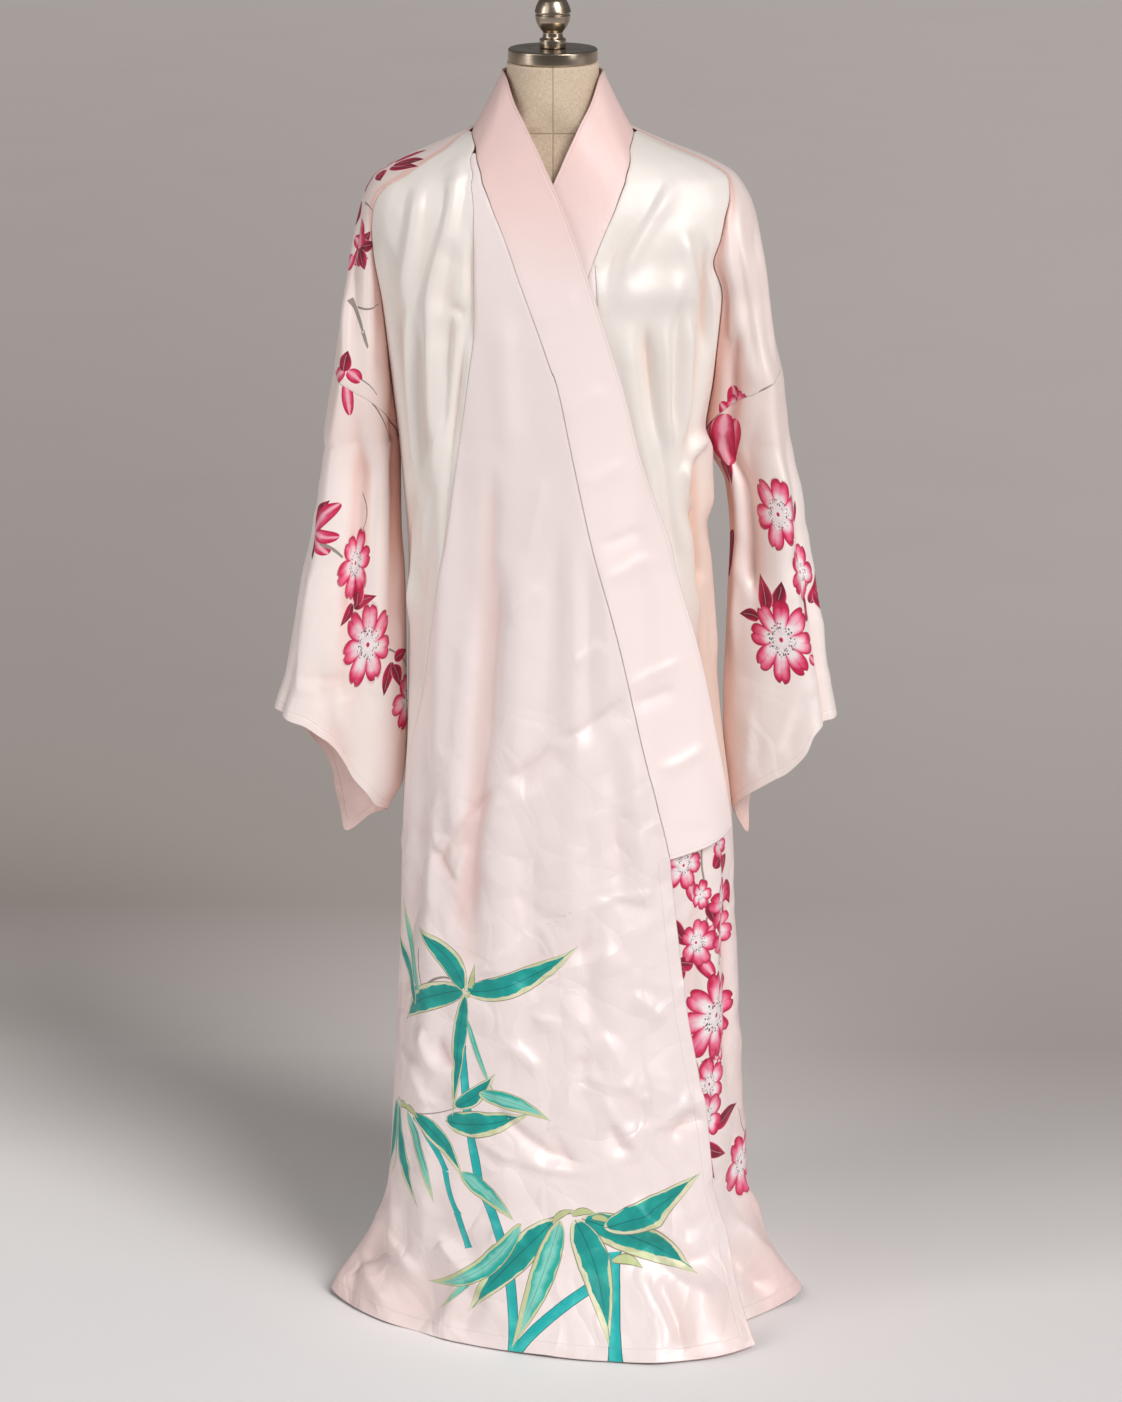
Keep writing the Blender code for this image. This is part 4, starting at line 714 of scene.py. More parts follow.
def make_shell(name, sheet, wall, materials, normals=None, prints=(), part=None):
    """A mesh object of both skins of the cloth and its rims. wall is one thickness or one for each point.
    prints are sets of strokes and blossoms, and part says which set the faces of a column take."""
    points, keep = sheet.points, sheet.keep
    rows, columns = points.shape[:2]
    normals = grid_normals(points, sheet.closed) if normals is None else normals
    dip = SEAM_DIP * np.exp(-((sheet.seam / SEAM_DIP_REACH) ** 2))
    outer = points + normals * (wall / 2 - dip)[..., None]
    inner = points - normals * (wall / 2 - 0.3 * dip)[..., None]
    i, j = np.nonzero(keep)
    top, low, after = i * columns, (i + 1) * columns, (j + 1) % columns
    quads = np.stack([top + j, low + j, low + after, top + after], axis=1)
    offset = rows * columns
    starts, ends = quads.ravel(), np.roll(quads, -1, axis=1).ravel()
    border = ~np.isin(starts * offset + ends, ends * offset + starts)
    a, b = starts[border], ends[border]
    rims = np.stack([b, a, a + offset, b + offset], axis=1)
    faces = np.concatenate([quads, quads[:, ::-1] + offset, rims])
    used, compact = np.unique(faces, return_inverse=True)
    faces = compact.reshape(faces.shape)
    everything = np.concatenate([outer.reshape(-1, 3), inner.reshape(-1, 3)])
    piece = mesh_object(name, everything[used], faces)
    mesh = piece.data
    for material in materials:
        mesh.materials.append(material)
    skin = np.zeros(len(faces), int)
    skin[len(quads):2 * len(quads)] = 1
    mesh.polygons.foreach_set("material_index", skin)

    on_grid = used % offset
    corners = sheet.uv.reshape(-1, 2)[on_grid][faces]
    mesh.uv_layers.new(name="UVMap").uv.foreach_set("vector", corners.ravel())
    edges = np.stack([sheet.seam, sheet.hem, sheet.tint], axis=-1).reshape(-1, 3)[on_grid]
    mesh.attributes.new("edge", "FLOAT_VECTOR", "POINT").data.foreach_set("vector", edges.ravel())
    if prints:
        corners = unwrapped(corners, sheet) if sheet.closed else corners
        which = part((on_grid[faces] % columns).min(axis=1)) if part else np.zeros(len(faces), int)
        for label, values in printed(corners, prints, which).items():
            mesh.attributes.new(label, "FLOAT_VECTOR", "CORNER").data.foreach_set("vector", values.ravel())
    return piece


def unwrapped(corners, sheet):
    """A closed sheet's last cells reach back to its first column, so their far corners go one girth on."""
    girth = np.ptp(sheet.uv[..., 0])
    far = corners[..., 0].max(axis=1, keepdims=True) - corners[..., 0] > girth / 2
    return corners + np.stack([np.where(far, girth, 0.0), np.zeros(far.shape)], axis=-1)


def mesh_object(name, vertices, faces):
    """A smooth shaded object of four-sided faces."""
    mesh = bpy.data.meshes.new(name)
    mesh.vertices.add(len(vertices))
    mesh.vertices.foreach_set("co", np.asarray(vertices, dtype=float).ravel())
    mesh.loops.add(faces.size)
    mesh.loops.foreach_set("vertex_index", faces.ravel())
    mesh.polygons.add(len(faces))
    mesh.polygons.foreach_set("loop_start", np.arange(0, faces.size, 4))
    mesh.update(calc_edges=True)
    mesh.shade_smooth()
    piece = bpy.data.objects.new(name, mesh)
    bpy.context.scene.collection.objects.link(piece)
    return piece


# ---------------------------------------------------------------- printed motifs
# Strokes by layer and kind: base (u, z), tip (u, z), half width and bow (how far the middle lies aside). All
# are in millimetres but the half width, which is in tenths of one.
LEAF, PALE_LEAF, RED_LEAF, STEM, TWIG, PETAL, SHEATH = range(1, 8)
BAMBOO = {
    ("a", LEAF): [
        (-108, 434, -185, 496, 150, 12), (-107, 430, -126, 276, 95, 2), (-232, 262, -178, 148, 135, 10),
        (62, 148, 184, 200, 195, 8),
    ],
    ("b", LEAF): [
        (-108, 432, 30, 494, 155, 12), (-186, 400, -262, 476, 110, 4), (-122, 288, -68, 338, 105, 5),
        (-246, 262, -290, 150, 110, -6), (26, 160, 68, 18, 200, -8),
    ],
    ("c", LEAF): [
        (-108, 434, -230, 366, 165, 10), (-137, 268, -28, 290, 165, 6), (-186, 266, -112, 200, 125, -10),
        (2, 162, -108, 40, 180, 2), (34, 161, 182, 82, 210, -6),
    ],
    ("b", PALE_LEAF): [
        (-105, 400, -66, 306, 40, 4), (-200, 264, -155, 160, 85, -4), (-38, 156, -172, 62, 125, -22),
    ],
    ("b", SHEATH): [(-104, 425, -96, 468, 45, 1), (0, 160, 26, 172, 45, -3), (46, 162, 72, 152, 45, -3)],
    ("a", PALE_LEAF): [
        (-176, 416, -226, 520, 90, -6), (-90, 310, -2, 282, 105, -6), (-116, 208, -46, 158, 115, -4),
        (8, 160, -50, 6, 155, -4),
    ],
    ("c", PALE_LEAF): [(-240, 266, -246, 168, 60, 0), (-70, 128, -150, 34, 60, -6)],
    ("a", SHEATH): [(22, 166, 52, 166, 50, -4), (-204, 268, -176, 262, 45, -3), (72, 108, 110, 96, 66, -6)],
    ("c", SHEATH): [(-226, 262, -196, 268, 45, -3)],
    ("d", STEM): [
        (-113, 366, -104, 270, 66, 0), (-104, 272, -90, 196, 72, 0), (-90, 198, -56, 118, 74, -2),
        (-56, 120, -48, 1, 76, -3), (-46, 0, 58, 86, 78, -8), (74, 118, 76, 0, 98, 0),
        (-184, 262, -137, 204, 48, -5), (-138, 206, -118, 156, 50, 3), (-120, 158, -106, 116, 54, 0),
        (-190, 420, -170, 396, 70, 0),
    ],
    ("d", TWIG): [
        (-180, 470, -164, 420, 16, 6), (-166, 424, -112, 440, 20, -12), (-236, 268, -120, 288, 12, 10),
        (-30, 150, 56, 166, 12, -9),
    ],
}
# The bamboo carries on round the side onto the back, there with u from the centre back.
BACK_BAMBOO = {
    ("a", LEAF): [
        (262, 262, 196, 160, 140, -8), (252, 470, 176, 404, 140, -8), (184, 130, 80, 62, 180, -6),
    ],
    ("b", LEAF): [
        (262, 264, 166, 240, 150, -8), (252, 474, 170, 500, 130, -6), (184, 132, 130, 10, 170, 2),
    ],
    ("c", PALE_LEAF): [(258, 266, 178, 312, 110, -6), (250, 468, 232, 370, 90, 2)],
    ("c", LEAF): [(180, 134, 66, 140, 150, -8)],
    ("a", PALE_LEAF): [(188, 128, 196, 16, 120, 2)],
    ("c", SHEATH): [(190, 138, 160, 138, 50, 3)],
    ("d", STEM): [
        (250, 470, 236, 370, 50, 3), (236, 364, 232, 262, 56, 3), (232, 256, 206, 150, 60, 3),
        (204, 144, 212, 4, 66, 3),
    ],
}
# Blossoms by layer: centre (u, z), half width and half height in millimetres, petals, turn in hundredths.
PANEL_BLOSSOMS = {
    "a": [
        (162, 581, 32, 34, 5, 10), (239, 480, 37, 31, 5, 75), (213, 387, 60, 58, 8, 5),
        (200, 262, 36, 35, 5, 20), (190, 540, 15, 20, 5, 50), (232, 590, 22, 22, 5, 15),
    ],
    "b": [
        (231, 519, 36, 34, 5, 45), (184, 482, 28, 31, 5, 30), (204, 303, 37, 35, 5, 62),
        (287, 177, 44, 44, 5, 55), (60, 400, 30, 44, 7, 35), (226, 340, 20, 18, 5, 85),
    ],
}
PANEL_SPRAYS = {
    ("a", RED_LEAF): [
        (208, 568, 237, 601, 95, 2), (143, 516, 173, 480, 110, 2), (220, 243, 276, 256, 102, -2),
        (200, 528, 210, 498, 71, 1), (166, 452, 140, 440, 110, 2),
    ],
    ("b", RED_LEAF): [
        (180, 456, 149, 463, 110, 2), (193, 229, 243, 204, 98, 2), (172, 345, 187, 313, 83, 2),
        (224, 560, 252, 574, 110, 2),
    ],
    ("c", RED_LEAF): [
        (186, 478, 201, 432, 95, 2), (190, 228, 219, 180, 110, 2), (192, 335, 216, 316, 81, 1),
        (254, 541, 266, 508, 71, 1),
    ],
    ("c", PETAL): [(170, 564, 180, 534, 90, 1), (215, 468, 243, 477, 90, 1), (176, 290, 166, 262, 70, 1)],
    ("b", PETAL): [(190, 462, 206, 437, 80, 1), (206, 500, 194, 472, 80, 2)],
    ("d", TWIG): [
        (193, 596, 200, 526, 17, 3), (200, 526, 185, 481, 15, -3), (200, 466, 199, 434, 15, 0),
        (191, 336, 187, 317, 15, 0), (186, 244, 236, 242, 15, -2), (292, 213, 278, 250, 11, 2),
        (226, 444, 236, 520, 15, -4),
    ],
}
SLEEVE_BLOSSOMS = {
    "right": {
        "b": [(-21, 926, 21, 46, 6, 30), (-118, 752, 26, 40, 6, 60), (188, 826, 30, 44, 6, 20)],
        "a": [(-48, 830, 34, 56, 7, 12), (150, 900, 34, 50, 7, 40), (230, 930, 28, 40, 5, 75)],
    },
    "left": {
        "a": [(-2, 990, 25, 48, 6, 22), (-12, 838, 40, 56, 8, 8), (196, 930, 30, 44, 6, 66)],
        "b": [(26, 916, 22, 36, 5, 52), (150, 860, 34, 50, 7, 33)],
    },
}
SLEEVE_SPRAYS = {
    "right": {
        ("a", PETAL): [(29, 967, 4, 1002, 90, 4), (4, 1151, -2, 1108, 60, 0)],
        ("b", RED_LEAF): [
            (33, 976, 13, 1006, 76, 2), (-30, 876, -34, 912, 80, 2), (-86, 800, -100, 772, 80, 2),
        ],
        ("c", PETAL): [(30, 967, 2, 962, 80, -2)],
        ("d", PETAL): [(32, 965, 10, 942, 90, 0)],
        ("b", PETAL): [(36, 964, 45, 932, 80, 0)],
        ("a", RED_LEAF): [
            (34, 962, 26, 934, 60, 0), (-22, 878, -10, 852, 60, 2), (-88, 806, -108, 814, 80, 2),
            (190, 880, 206, 920, 90, 3),
        ],
        ("d", TWIG): [
            (-28, 1122, -66, 1060, 11, 3), (20, 956, -4, 936, 26, 2), (-20, 1010, -22, 960, 9, 8),
            (-78, 820, -118, 780, 14, 6), (160, 880, 230, 900, 14, 6),
        ],
        ("c", RED_LEAF): [(-26, 872, -52, 890, 80, 3), (-84, 804, -78, 764, 80, -2)],
    },
    "left": {
        ("a", PETAL): [(-48, 1106, -52, 1042, 190, 2)],
        ("b", PETAL): [(-66, 1098, -58, 1046, 130, 2)],
        ("c", PETAL): [(-30, 1100, -46, 1050, 120, 0), (18, 818, 30, 806, 60, 1)],
        ("d", RED_LEAF): [(-54, 1056, -58, 1018, 90, 1), (-76, 960, -86, 900, 90, 2)],
        ("c", RED_LEAF): [
            (-62, 1046, -72, 1016, 60, 1), (-16, 876, -6, 910, 80, 2), (22, 858, 34, 892, 60, 2),
        ],
        ("b", RED_LEAF): [
            (-26, 872, -30, 914, 90, 2), (-36, 862, -62, 864, 80, 2), (40, 876, 56, 914, 70, 2),
        ],
        ("a", RED_LEAF): [(46, 890, 66, 860, 80, 2), (24, 972, 36, 1000, 50, 1)],
        ("d", TWIG): [(40, 904, 30, 856, 14, 4), (150, 910, 196, 900, 14, 6)],
    },
}
# On the upper arms and shoulders: the same, with u and z on the arm.
SHOULDER_BLOSSOMS = {
    "right": {
        "b": [(30, 1388, 16, 12, 5, 30), (90, 1300, 30, 34, 5, 55)],
    },
    "left": {
        "a": [(-29, 1108, 21, 30, 5, 30)],
        "b": [(140, 1220, 26, 34, 5, 15)],
    },
}
SHOULDER_SPRAYS = {
    "right": {
        ("a", RED_LEAF): [
            (22, 1398, 0, 1413, 52, 0), (24, 1380, 6, 1362, 70, 0), (34, 1262, 30, 1226, 52, 2),
            (-6, 1300, -14, 1277, 76, 0), (7, 1160, 4, 1184, 78, 1),
        ],
        ("b", RED_LEAF): [
            (10, 1397, -27, 1406, 50, 0), (12, 1352, 24, 1318, 66, 1), (-6, 1302, -28, 1308, 74, 0),
        ],
        ("c", RED_LEAF): [
            (6, 1394, -34, 1399, 44, 0), (4, 1284, -18, 1291, 80, 0), (-6, 1304, -22, 1322, 60, 0),
        ],
        ("d", RED_LEAF): [(12, 1388, -12, 1380, 50, 0)],
        ("d", PETAL): [(-8, 1312, -3, 1334, 66, 0)],
        ("a", PETAL): [(12, 1290, 20, 1272, 70, 0), (-6, 1300, -4, 1325, 85, 0)],
        ("d", TWIG): [
            (-7, 1353, -27, 1346, 15, 2), (6, 1242, -13, 1207, 36, 3), (-12, 1211, -19, 1188, 24, 0),
            (-6, 1234, -34, 1236, 15, -2), (-4, 1156, -34, 1130, 10, 3),
        ],
        ("b", PETAL): [(-6, 1300, 15, 1309, 80, 0), (6, 1162, 34, 1144, 90, 1)],
        ("c", PETAL): [(-5, 1300, 8, 1279, 80, 0), (3, 1161, -12, 1148, 80, 1)],
    },
    "left": {
        ("b", PETAL): [(-34, 1100, -40, 1140, 110, 3)],
        ("c", PETAL): [(-30, 1098, -54, 1120, 100, -3)],
        ("c", RED_LEAF): [(-14, 1124, 0, 1137, 50, 1)],
        ("d", TWIG): [(-4, 1136, 10, 1146, 13, -1)],
    },
}
STROKE_UNITS, BLOSSOM_UNITS = (1000, 1000, 1000, 1000, 10000, 1000), (1000, 1000, 1000, 1000, 1, 100)
STROKE_LAYERS, BLOSSOM_LAYERS = ("a", "b", "c", "d"), ("a", "b")
CELL_REACH = 0.0030
NO_STROKE, STROKE_REACH = (-1.0, 0.0, 0.0), 1.45
NO_BLOSSOM, BLOSSOM_REACH = (9.0, 9.0, 0.0), 1.3
MIRROR_SHARE = 0.94


def stroke_places(corners, strokes, layer):
    """Along, aside (in half widths) and kind at every face corner, of the stroke nearest to each face."""
    result = np.tile(np.array(NO_STROKE), corners.shape[:2] + (1,))
    least = np.full(len(corners), STROKE_REACH)
    drawn = [(kind, row) for (its_layer, kind), rows in strokes.items() if its_layer == layer for row in rows]
    for kind, row in drawn:
        (u_0, z_0, u_1, z_1, half, bow), = in_units([row], STROKE_UNITS)
        run_u, run_z = u_1 - u_0, z_1 - z_0
        length = math.hypot(run_u, run_z)
        du, dz = corners[..., 0] - u_0, corners[..., 1] - z_0
        along = (du * run_u + dz * run_z) / length**2
        aside = (du * run_z - dz * run_u) / length - 4 * bow * np.clip(along * (1 - along), 0.0, 1.0)
        aside = aside / half
        outside = np.abs(along.mean(axis=1) - 0.5) * 2
        reach = np.abs(aside.mean(axis=1)) * half / (half + CELL_REACH)
        reach = np.maximum(reach, np.where(outside > 1.0, 1.0 + 4 * (outside - 1.0), 0.0))
        better = reach < least
        least = np.where(better, reach, least)
        result[better] = np.stack([along, aside, np.full(along.shape, float(kind))], axis=-1)[better]
    return result


def blossom_places(corners, blossoms, layer):
    """Place in the blossom, in its half sizes, and a code: petals plus the share of a round it is turned."""
    result = np.tile(np.array(NO_BLOSSOM), corners.shape[:2] + (1,))
    least = np.full(len(corners), BLOSSOM_REACH)
    for u, z, half_u, half_z, petals, turned in in_units(blossoms.get(layer, ()), BLOSSOM_UNITS):
        across, up = (corners[..., 0] - u) / half_u, (corners[..., 1] - z) / half_z
        reach = np.hypot(across.mean(axis=1), up.mean(axis=1))
        better = reach < least
        least = np.where(better, reach, least)
        result[better] = np.stack([across, up, np.full(across.shape, petals + turned)], axis=-1)[better]
    return result


def printed(corners, sets, which):
    """The motifs at face corners. which says from which set of strokes and blossoms each face takes them."""
    values = {}
    chosen = [(which == k)[:, None, None] for k in range(len(sets))]
    if any(strokes for strokes, _ in sets):
        for layer in STROKE_LAYERS:
            found = [stroke_places(corners, strokes, layer) for strokes, _ in sets]
            values[f"stroke_{layer}"] = np.select(chosen, found)
    if any(blossoms for _, blossoms in sets):
        for layer in BLOSSOM_LAYERS:
            found = [blossom_places(corners, blossoms, layer) for _, blossoms in sets]
            values[f"blossom_{layer}"] = np.select(chosen, found)
    return values


def mirrored(strokes):
    """The strokes, and the same ones on the other side of the centre, a little lower."""
    def mirror(u_0, z_0, u_1, z_1, half, bow):
        return -u_0, z_0 * MIRROR_SHARE, -u_1, z_1 * MIRROR_SHARE, half, -bow
    return {key: rows + [mirror(*row) for row in rows] for key, rows in strokes.items()}


# ---------------------------------------------------------------- shader nodes
class Value:
    """One output of a shader node, with arithmetic."""

    def __init__(self, nodes, socket):
        self.nodes, self.socket = nodes, socket


def add_operator(name, operation):
    """Gives Value one arithmetic operator, for either side of it."""
    setattr(Value, f"__{name}__", lambda self, other: self.nodes.math(operation, self, other))
    setattr(Value, f"__r{name}__", lambda self, other: self.nodes.math(operation, other, self))


add_operator("add", "ADD")
add_operator("sub", "SUBTRACT")
add_operator("mul", "MULTIPLY")
add_operator("truediv", "DIVIDE")
add_operator("pow", "POWER")


class Nodes:
    """Builds nodes in one tree."""

    def __init__(self, tree):
        self.tree = tree

    def add(self, kind, inputs=(), **settings):
        """A new node of a kind, with its settings and inputs."""
        node = self.tree.nodes.new(kind)
        for name, value in settings.items():
            setattr(node, name, value)
        self.feed(node, dict(inputs))
        return node

    def feed(self, node, inputs):
        """Sets inputs of a node, each to a plain value or from another node."""
        for key, value in inputs.items():
            if isinstance(value, Value):
                self.tree.links.new(value.socket, node.inputs[key])
            else:
                node.inputs[key].default_value = value

    def out(self, node, key=0):
        return Value(self, node.outputs[key])

    def math(self, operation, *values):
        return self.out(self.add("ShaderNodeMath", dict(enumerate(values)), operation=operation))

    def inside(self, share):
        """The share, kept just inside 0 to 1."""
        return self.math("MINIMUM", self.math("MAXIMUM", share, 0.001), 0.999)

    def is_near(self, value, target):
        """1 where the value is the target, which is a whole number, and 0 elsewhere."""
        return self.math("COMPARE", value, target, 0.3)

    def step(self, value, low, high):
        """0 below low, 1 above high and smooth between."""
        inputs = {"Value": value, "From Min": low, "From Max": high}
        return self.out(self.add("ShaderNodeMapRange", inputs, interpolation_type="SMOOTHSTEP"))

    def mix(self, share, low, high):
        return self.out(self.add("ShaderNodeMix", {0: share, 6: low, 7: high}, data_type="RGBA"), 2)

    def split(self, vector):
        node = self.add("ShaderNodeSeparateXYZ", {0: vector})
        return tuple(self.out(node, k) for k in range(3))

    def vector(self, x, y, z=0.0):
        return self.out(self.add("ShaderNodeCombineXYZ", {0: x, 1: y, 2: z}))

    def place(self, kind):
        return self.out(self.add("ShaderNodeTexCoord"), kind)

    def attribute(self, name):
        return self.out(self.add("ShaderNodeAttribute", attribute_name=name), "Vector")

    def noise(self, place, scale, detail=2.0, roughness=0.5):
        inputs = {"Vector": place, "Scale": scale, "Detail": detail, "Roughness": roughness}
        return self.out(self.add("ShaderNodeTexNoise", inputs), 0)

    def bump(self, height, distance, normal=None):
        inputs = {"Height": height, "Distance": distance}
        if normal is not None:
            inputs["Normal"] = normal
        return self.out(self.add("ShaderNodeBump", inputs), "Normal")


def paint(red, green, blue):
    """A screen colour, 0 to 255, as the linear colour that a shader takes."""
    def linear(value):
        value /= 255.0
        return value / 12.92 if value <= 0.04045 else ((value + 0.055) / 1.055) ** 2.4
    return (linear(red), linear(green), linear(blue), 1.0)


def new_material(name):
    """A material with only its output and a principled shader: the nodes and the shader's inputs."""
    material = bpy.data.materials.new(name)
    material.use_nodes = True
    nodes = Nodes(material.node_tree)
    shader = material.node_tree.nodes["Principled BSDF"]
    return material, nodes, shader


def new_group(name, inputs):
    """A node group from the named inputs to one colour: the nodes, its inputs and where the colour goes."""
    tree = bpy.data.node_groups.new(name, "ShaderNodeTree")
    for label, kind in inputs:
        tree.interface.new_socket(label, in_out="INPUT", socket_type=kind)
    tree.interface.new_socket("Colour", in_out="OUTPUT", socket_type="NodeSocketColor")
    nodes = Nodes(tree)
    source = nodes.add("NodeGroupInput")
    sink = nodes.add("NodeGroupOutput")
    return tree, nodes, [nodes.out(source, k) for k in range(len(inputs))], sink


GROUP_INPUTS = (("Place", "NodeSocketVector"), ("Grain", "NodeSocketFloat"), ("Under", "NodeSocketColor"))
INK = paint(92, 74, 58)
CREAM, CREAM_DEEP = paint(232, 226, 194), paint(208, 212, 164)
TEAL, TEAL_LIGHT, TEAL_PALE = paint(0, 148, 140), paint(30, 178, 164), paint(136, 214, 198)
TEAL_DARK = paint(6, 96, 96)
STEM_BLUE, STEM_BLUE_PALE, STEM_EDGE = paint(20, 178, 176), paint(70, 204, 198), paint(8, 104, 100)
TWIG_GREY = paint(158, 144, 138)
SHEATH_GREEN = paint(196, 204, 148)
CRIMSON, CRIMSON_DARK, WINE = paint(206, 22, 76), paint(158, 12, 52), paint(112, 12, 42)
ROSE, BLUSH, PETAL_WHITE = paint(240, 96, 138), paint(248, 178, 194), paint(252, 240, 240)
STAMEN, STAMEN_PALE = paint(52, 44, 46), paint(120, 104, 108)


def blade(along):
    """Half the width of a leaf at a place along it: broad near its base and drawn out to a point."""
    return 3.0 * along**0.6 * (1.0 - along) ** 1.1


def make_stroke_group():
    """Draws one layer of strokes on a colour: leaves with a pale border, petals, stems, twigs and sheaths."""
    tree, nodes, (place, grain, under), sink = new_group("printed_stroke", GROUP_INPUTS)
    along, aside, kind = nodes.split(place)
    side = nodes.math("ABSOLUTE", aside)
    inside = nodes.inside(along)
    is_red, is_stem = nodes.is_near(kind, RED_LEAF), nodes.is_near(kind, STEM)
    is_pale, is_twig = nodes.is_near(kind, PALE_LEAF), nodes.is_near(kind, TWIG)
    is_petal, is_sheath = nodes.is_near(kind, PETAL), nodes.is_near(kind, SHEATH)
    is_blade = 1.0 - is_petal - is_stem - is_twig

    petal = 2.0 * (inside * (1.0 - inside)) ** 0.5
    stem = 0.84 + 0.20 * nodes.math("ABSOLUTE", inside * 2.0 - 1.0) ** 8.0
    outline = blade(inside) * is_blade + petal * is_petal + stem * is_stem + (1.0 - 0.6 * inside) * is_twig
    reach = side / nodes.math("MAXIMUM", outline, 0.03) + (grain - 0.5) * 0.10
    ends = nodes.step(along, -0.002, 0.004) * nodes.step(along, 1.002, 0.996)
    cover = ends * nodes.step(reach, 1.04, 0.97) * nodes.step(kind, 0.4, 0.6)

    core_along = nodes.inside((along - 0.02) / 0.86)
    core_side = nodes.math("ABSOLUTE", aside + 0.09)
    core_reach = core_side / nodes.math("MAXIMUM", blade(core_along), 0.03) + (grain - 0.5) * 0.60
    core = nodes.step(core_reach, 0.80, 0.75) * nodes.step(core_along, 0.0, 0.02)
    deep = nodes.mix(nodes.step(grain + 0.25 * side, 0.40, 1.00), TEAL, TEAL_LIGHT)
    pale = nodes.mix(nodes.step(side + (grain - 0.5), 0.10, 0.62), TEAL_PALE, TEAL_LIGHT)
    leaf = nodes.mix(is_pale, deep, pale)
    border = nodes.mix(nodes.step(grain + 0.2 * is_pale, 0.40, 0.66), CREAM, CREAM_DEEP)
    leaf = nodes.mix(core, border, leaf)
    rib = nodes.step(side, 0.042, 0.016) * nodes.step(along, 0.78, 0.66) * (1.0 - 0.4 * is_pale)
    leaf = nodes.mix(rib * 0.80, leaf, TEAL_DARK)
    leaf = nodes.mix(nodes.step(reach, 0.925, 0.965) * 0.80, leaf, INK)

    red = nodes.mix(nodes.step(grain + 0.3 * side, 0.38, 0.95), WINE, CRIMSON)
    red_rib = nodes.step(side, 0.060, 0.020) * nodes.step(along, 0.86, 0.74)
    red = nodes.mix(nodes.math("MAXIMUM", red_rib * 0.5, nodes.step(reach, 0.86, 0.94) * 0.75), red, BLUSH)
    shade = nodes.step(nodes.math("MAXIMUM", reach, along * 1.05) + (grain - 0.5) * 0.5, 0.30, 0.92)
    pink = nodes.mix(shade, ROSE, CRIMSON)
    pink = nodes.mix(nodes.step(reach + (grain - 0.5) * 0.6, 0.50, 0.10), pink, BLUSH)
    pink = nodes.mix(nodes.step(reach, 0.90, 0.97) * 0.8, pink, CRIMSON_DARK)
    blue = nodes.mix(nodes.step(grain + 0.2 * aside, 0.35, 0.85), STEM_BLUE, STEM_BLUE_PALE)
    blue = nodes.mix(nodes.step(reach, 0.80, 0.92) * 0.90, blue, STEM_EDGE)
    green = nodes.mix(nodes.step(reach, 0.72, 0.92) * 0.85, SHEATH_GREEN, INK)

    colour = nodes.mix(is_red, leaf, red)
    colour = nodes.mix(is_petal, colour, pink)
    colour = nodes.mix(is_stem, colour, blue)
    colour = nodes.mix(is_sheath, colour, green)
    colour = nodes.mix(is_twig, colour, TWIG_GREY)
    nodes.feed(sink, {0: nodes.mix(cover, under, colour)})
    return tree


def make_blossom_group():
    """Draws one layer of blossoms over a colour: shaded petals round a pale centre with a ring of stamens."""
    tree, nodes, (place, grain, under), sink = new_group("printed_blossom", GROUP_INPUTS)
    across, up, code = nodes.split(place)
    petals = nodes.math("FLOOR", code)
    turned = code - petals
    radius = (across * across + up * up) ** 0.5
    wedge = (nodes.math("ARCTAN2", up, across) / (2 * math.pi) + turned) * petals
    cell = nodes.math("FLOORED_MODULO", nodes.math("FLOOR", wedge), petals)
    offside = nodes.math("ABSOLUTE", nodes.math("FRACT", wedge) - 0.5) * 2.0
    chance = nodes.add("ShaderNodeTexWhiteNoise", {"W": cell + turned * 13.0}, noise_dimensions="1D")
    length = 0.88 + 0.12 * nodes.out(chance, 0) - 0.07 * nodes.step(offside, 0.18, 0.0)
    outline = length * (1.0 - 0.36 * offside**3.0)
    reach = radius / outline + (grain - 0.5) * 0.05
    cover = nodes.step(reach, 1.015, 0.985) * nodes.step(code, 1.0, 2.0)

    shade = reach + 0.15 * offside**2.0 + (grain - 0.5) * 0.60
    light = nodes.mix(nodes.step(shade, 0.40, 0.70), PETAL_WHITE, BLUSH)
    rosy = nodes.mix(nodes.step(shade, 0.58, 0.84), light, ROSE)
    colour = nodes.mix(nodes.step(shade, 0.78, 0.98), rosy, CRIMSON)
    divider = nodes.step(offside, 0.90, 0.97) * nodes.step(radius, 0.26, 0.42)
    colour = nodes.mix(divider * 0.62, colour, CRIMSON)
    colour = nodes.mix(nodes.step(reach, 0.930, 0.975) * 0.85, colour, CRIMSON_DARK)

    dots = nodes.add("ShaderNodeTexVoronoi", {"Vector": nodes.vector(across, up, turned), "Scale": 15.0})
    ring = nodes.step(radius, 0.17, 0.24) * nodes.step(radius, 0.44, 0.34)
    colour = nodes.mix(nodes.step(nodes.out(dots, "Distance"), 0.40, 0.28) * ring, colour, STAMEN)
    rays = nodes.math("ABSOLUTE", nodes.math("FRACT", wedge * 3.0) - 0.5)
    thread = nodes.step(rays, 0.10, 0.03) * nodes.step(radius, 0.10, 0.16) * nodes.step(radius, 0.36, 0.30)
    colour = nodes.mix(thread * 0.45, colour, STAMEN_PALE)
    colour = nodes.mix(nodes.step(radius, 0.065, 0.045), colour, CRIMSON)
    nodes.feed(sink, {0: nodes.mix(cover, under, colour)})
    return tree


STROKE_GROUP, BLOSSOM_GROUP = make_stroke_group(), make_blossom_group()


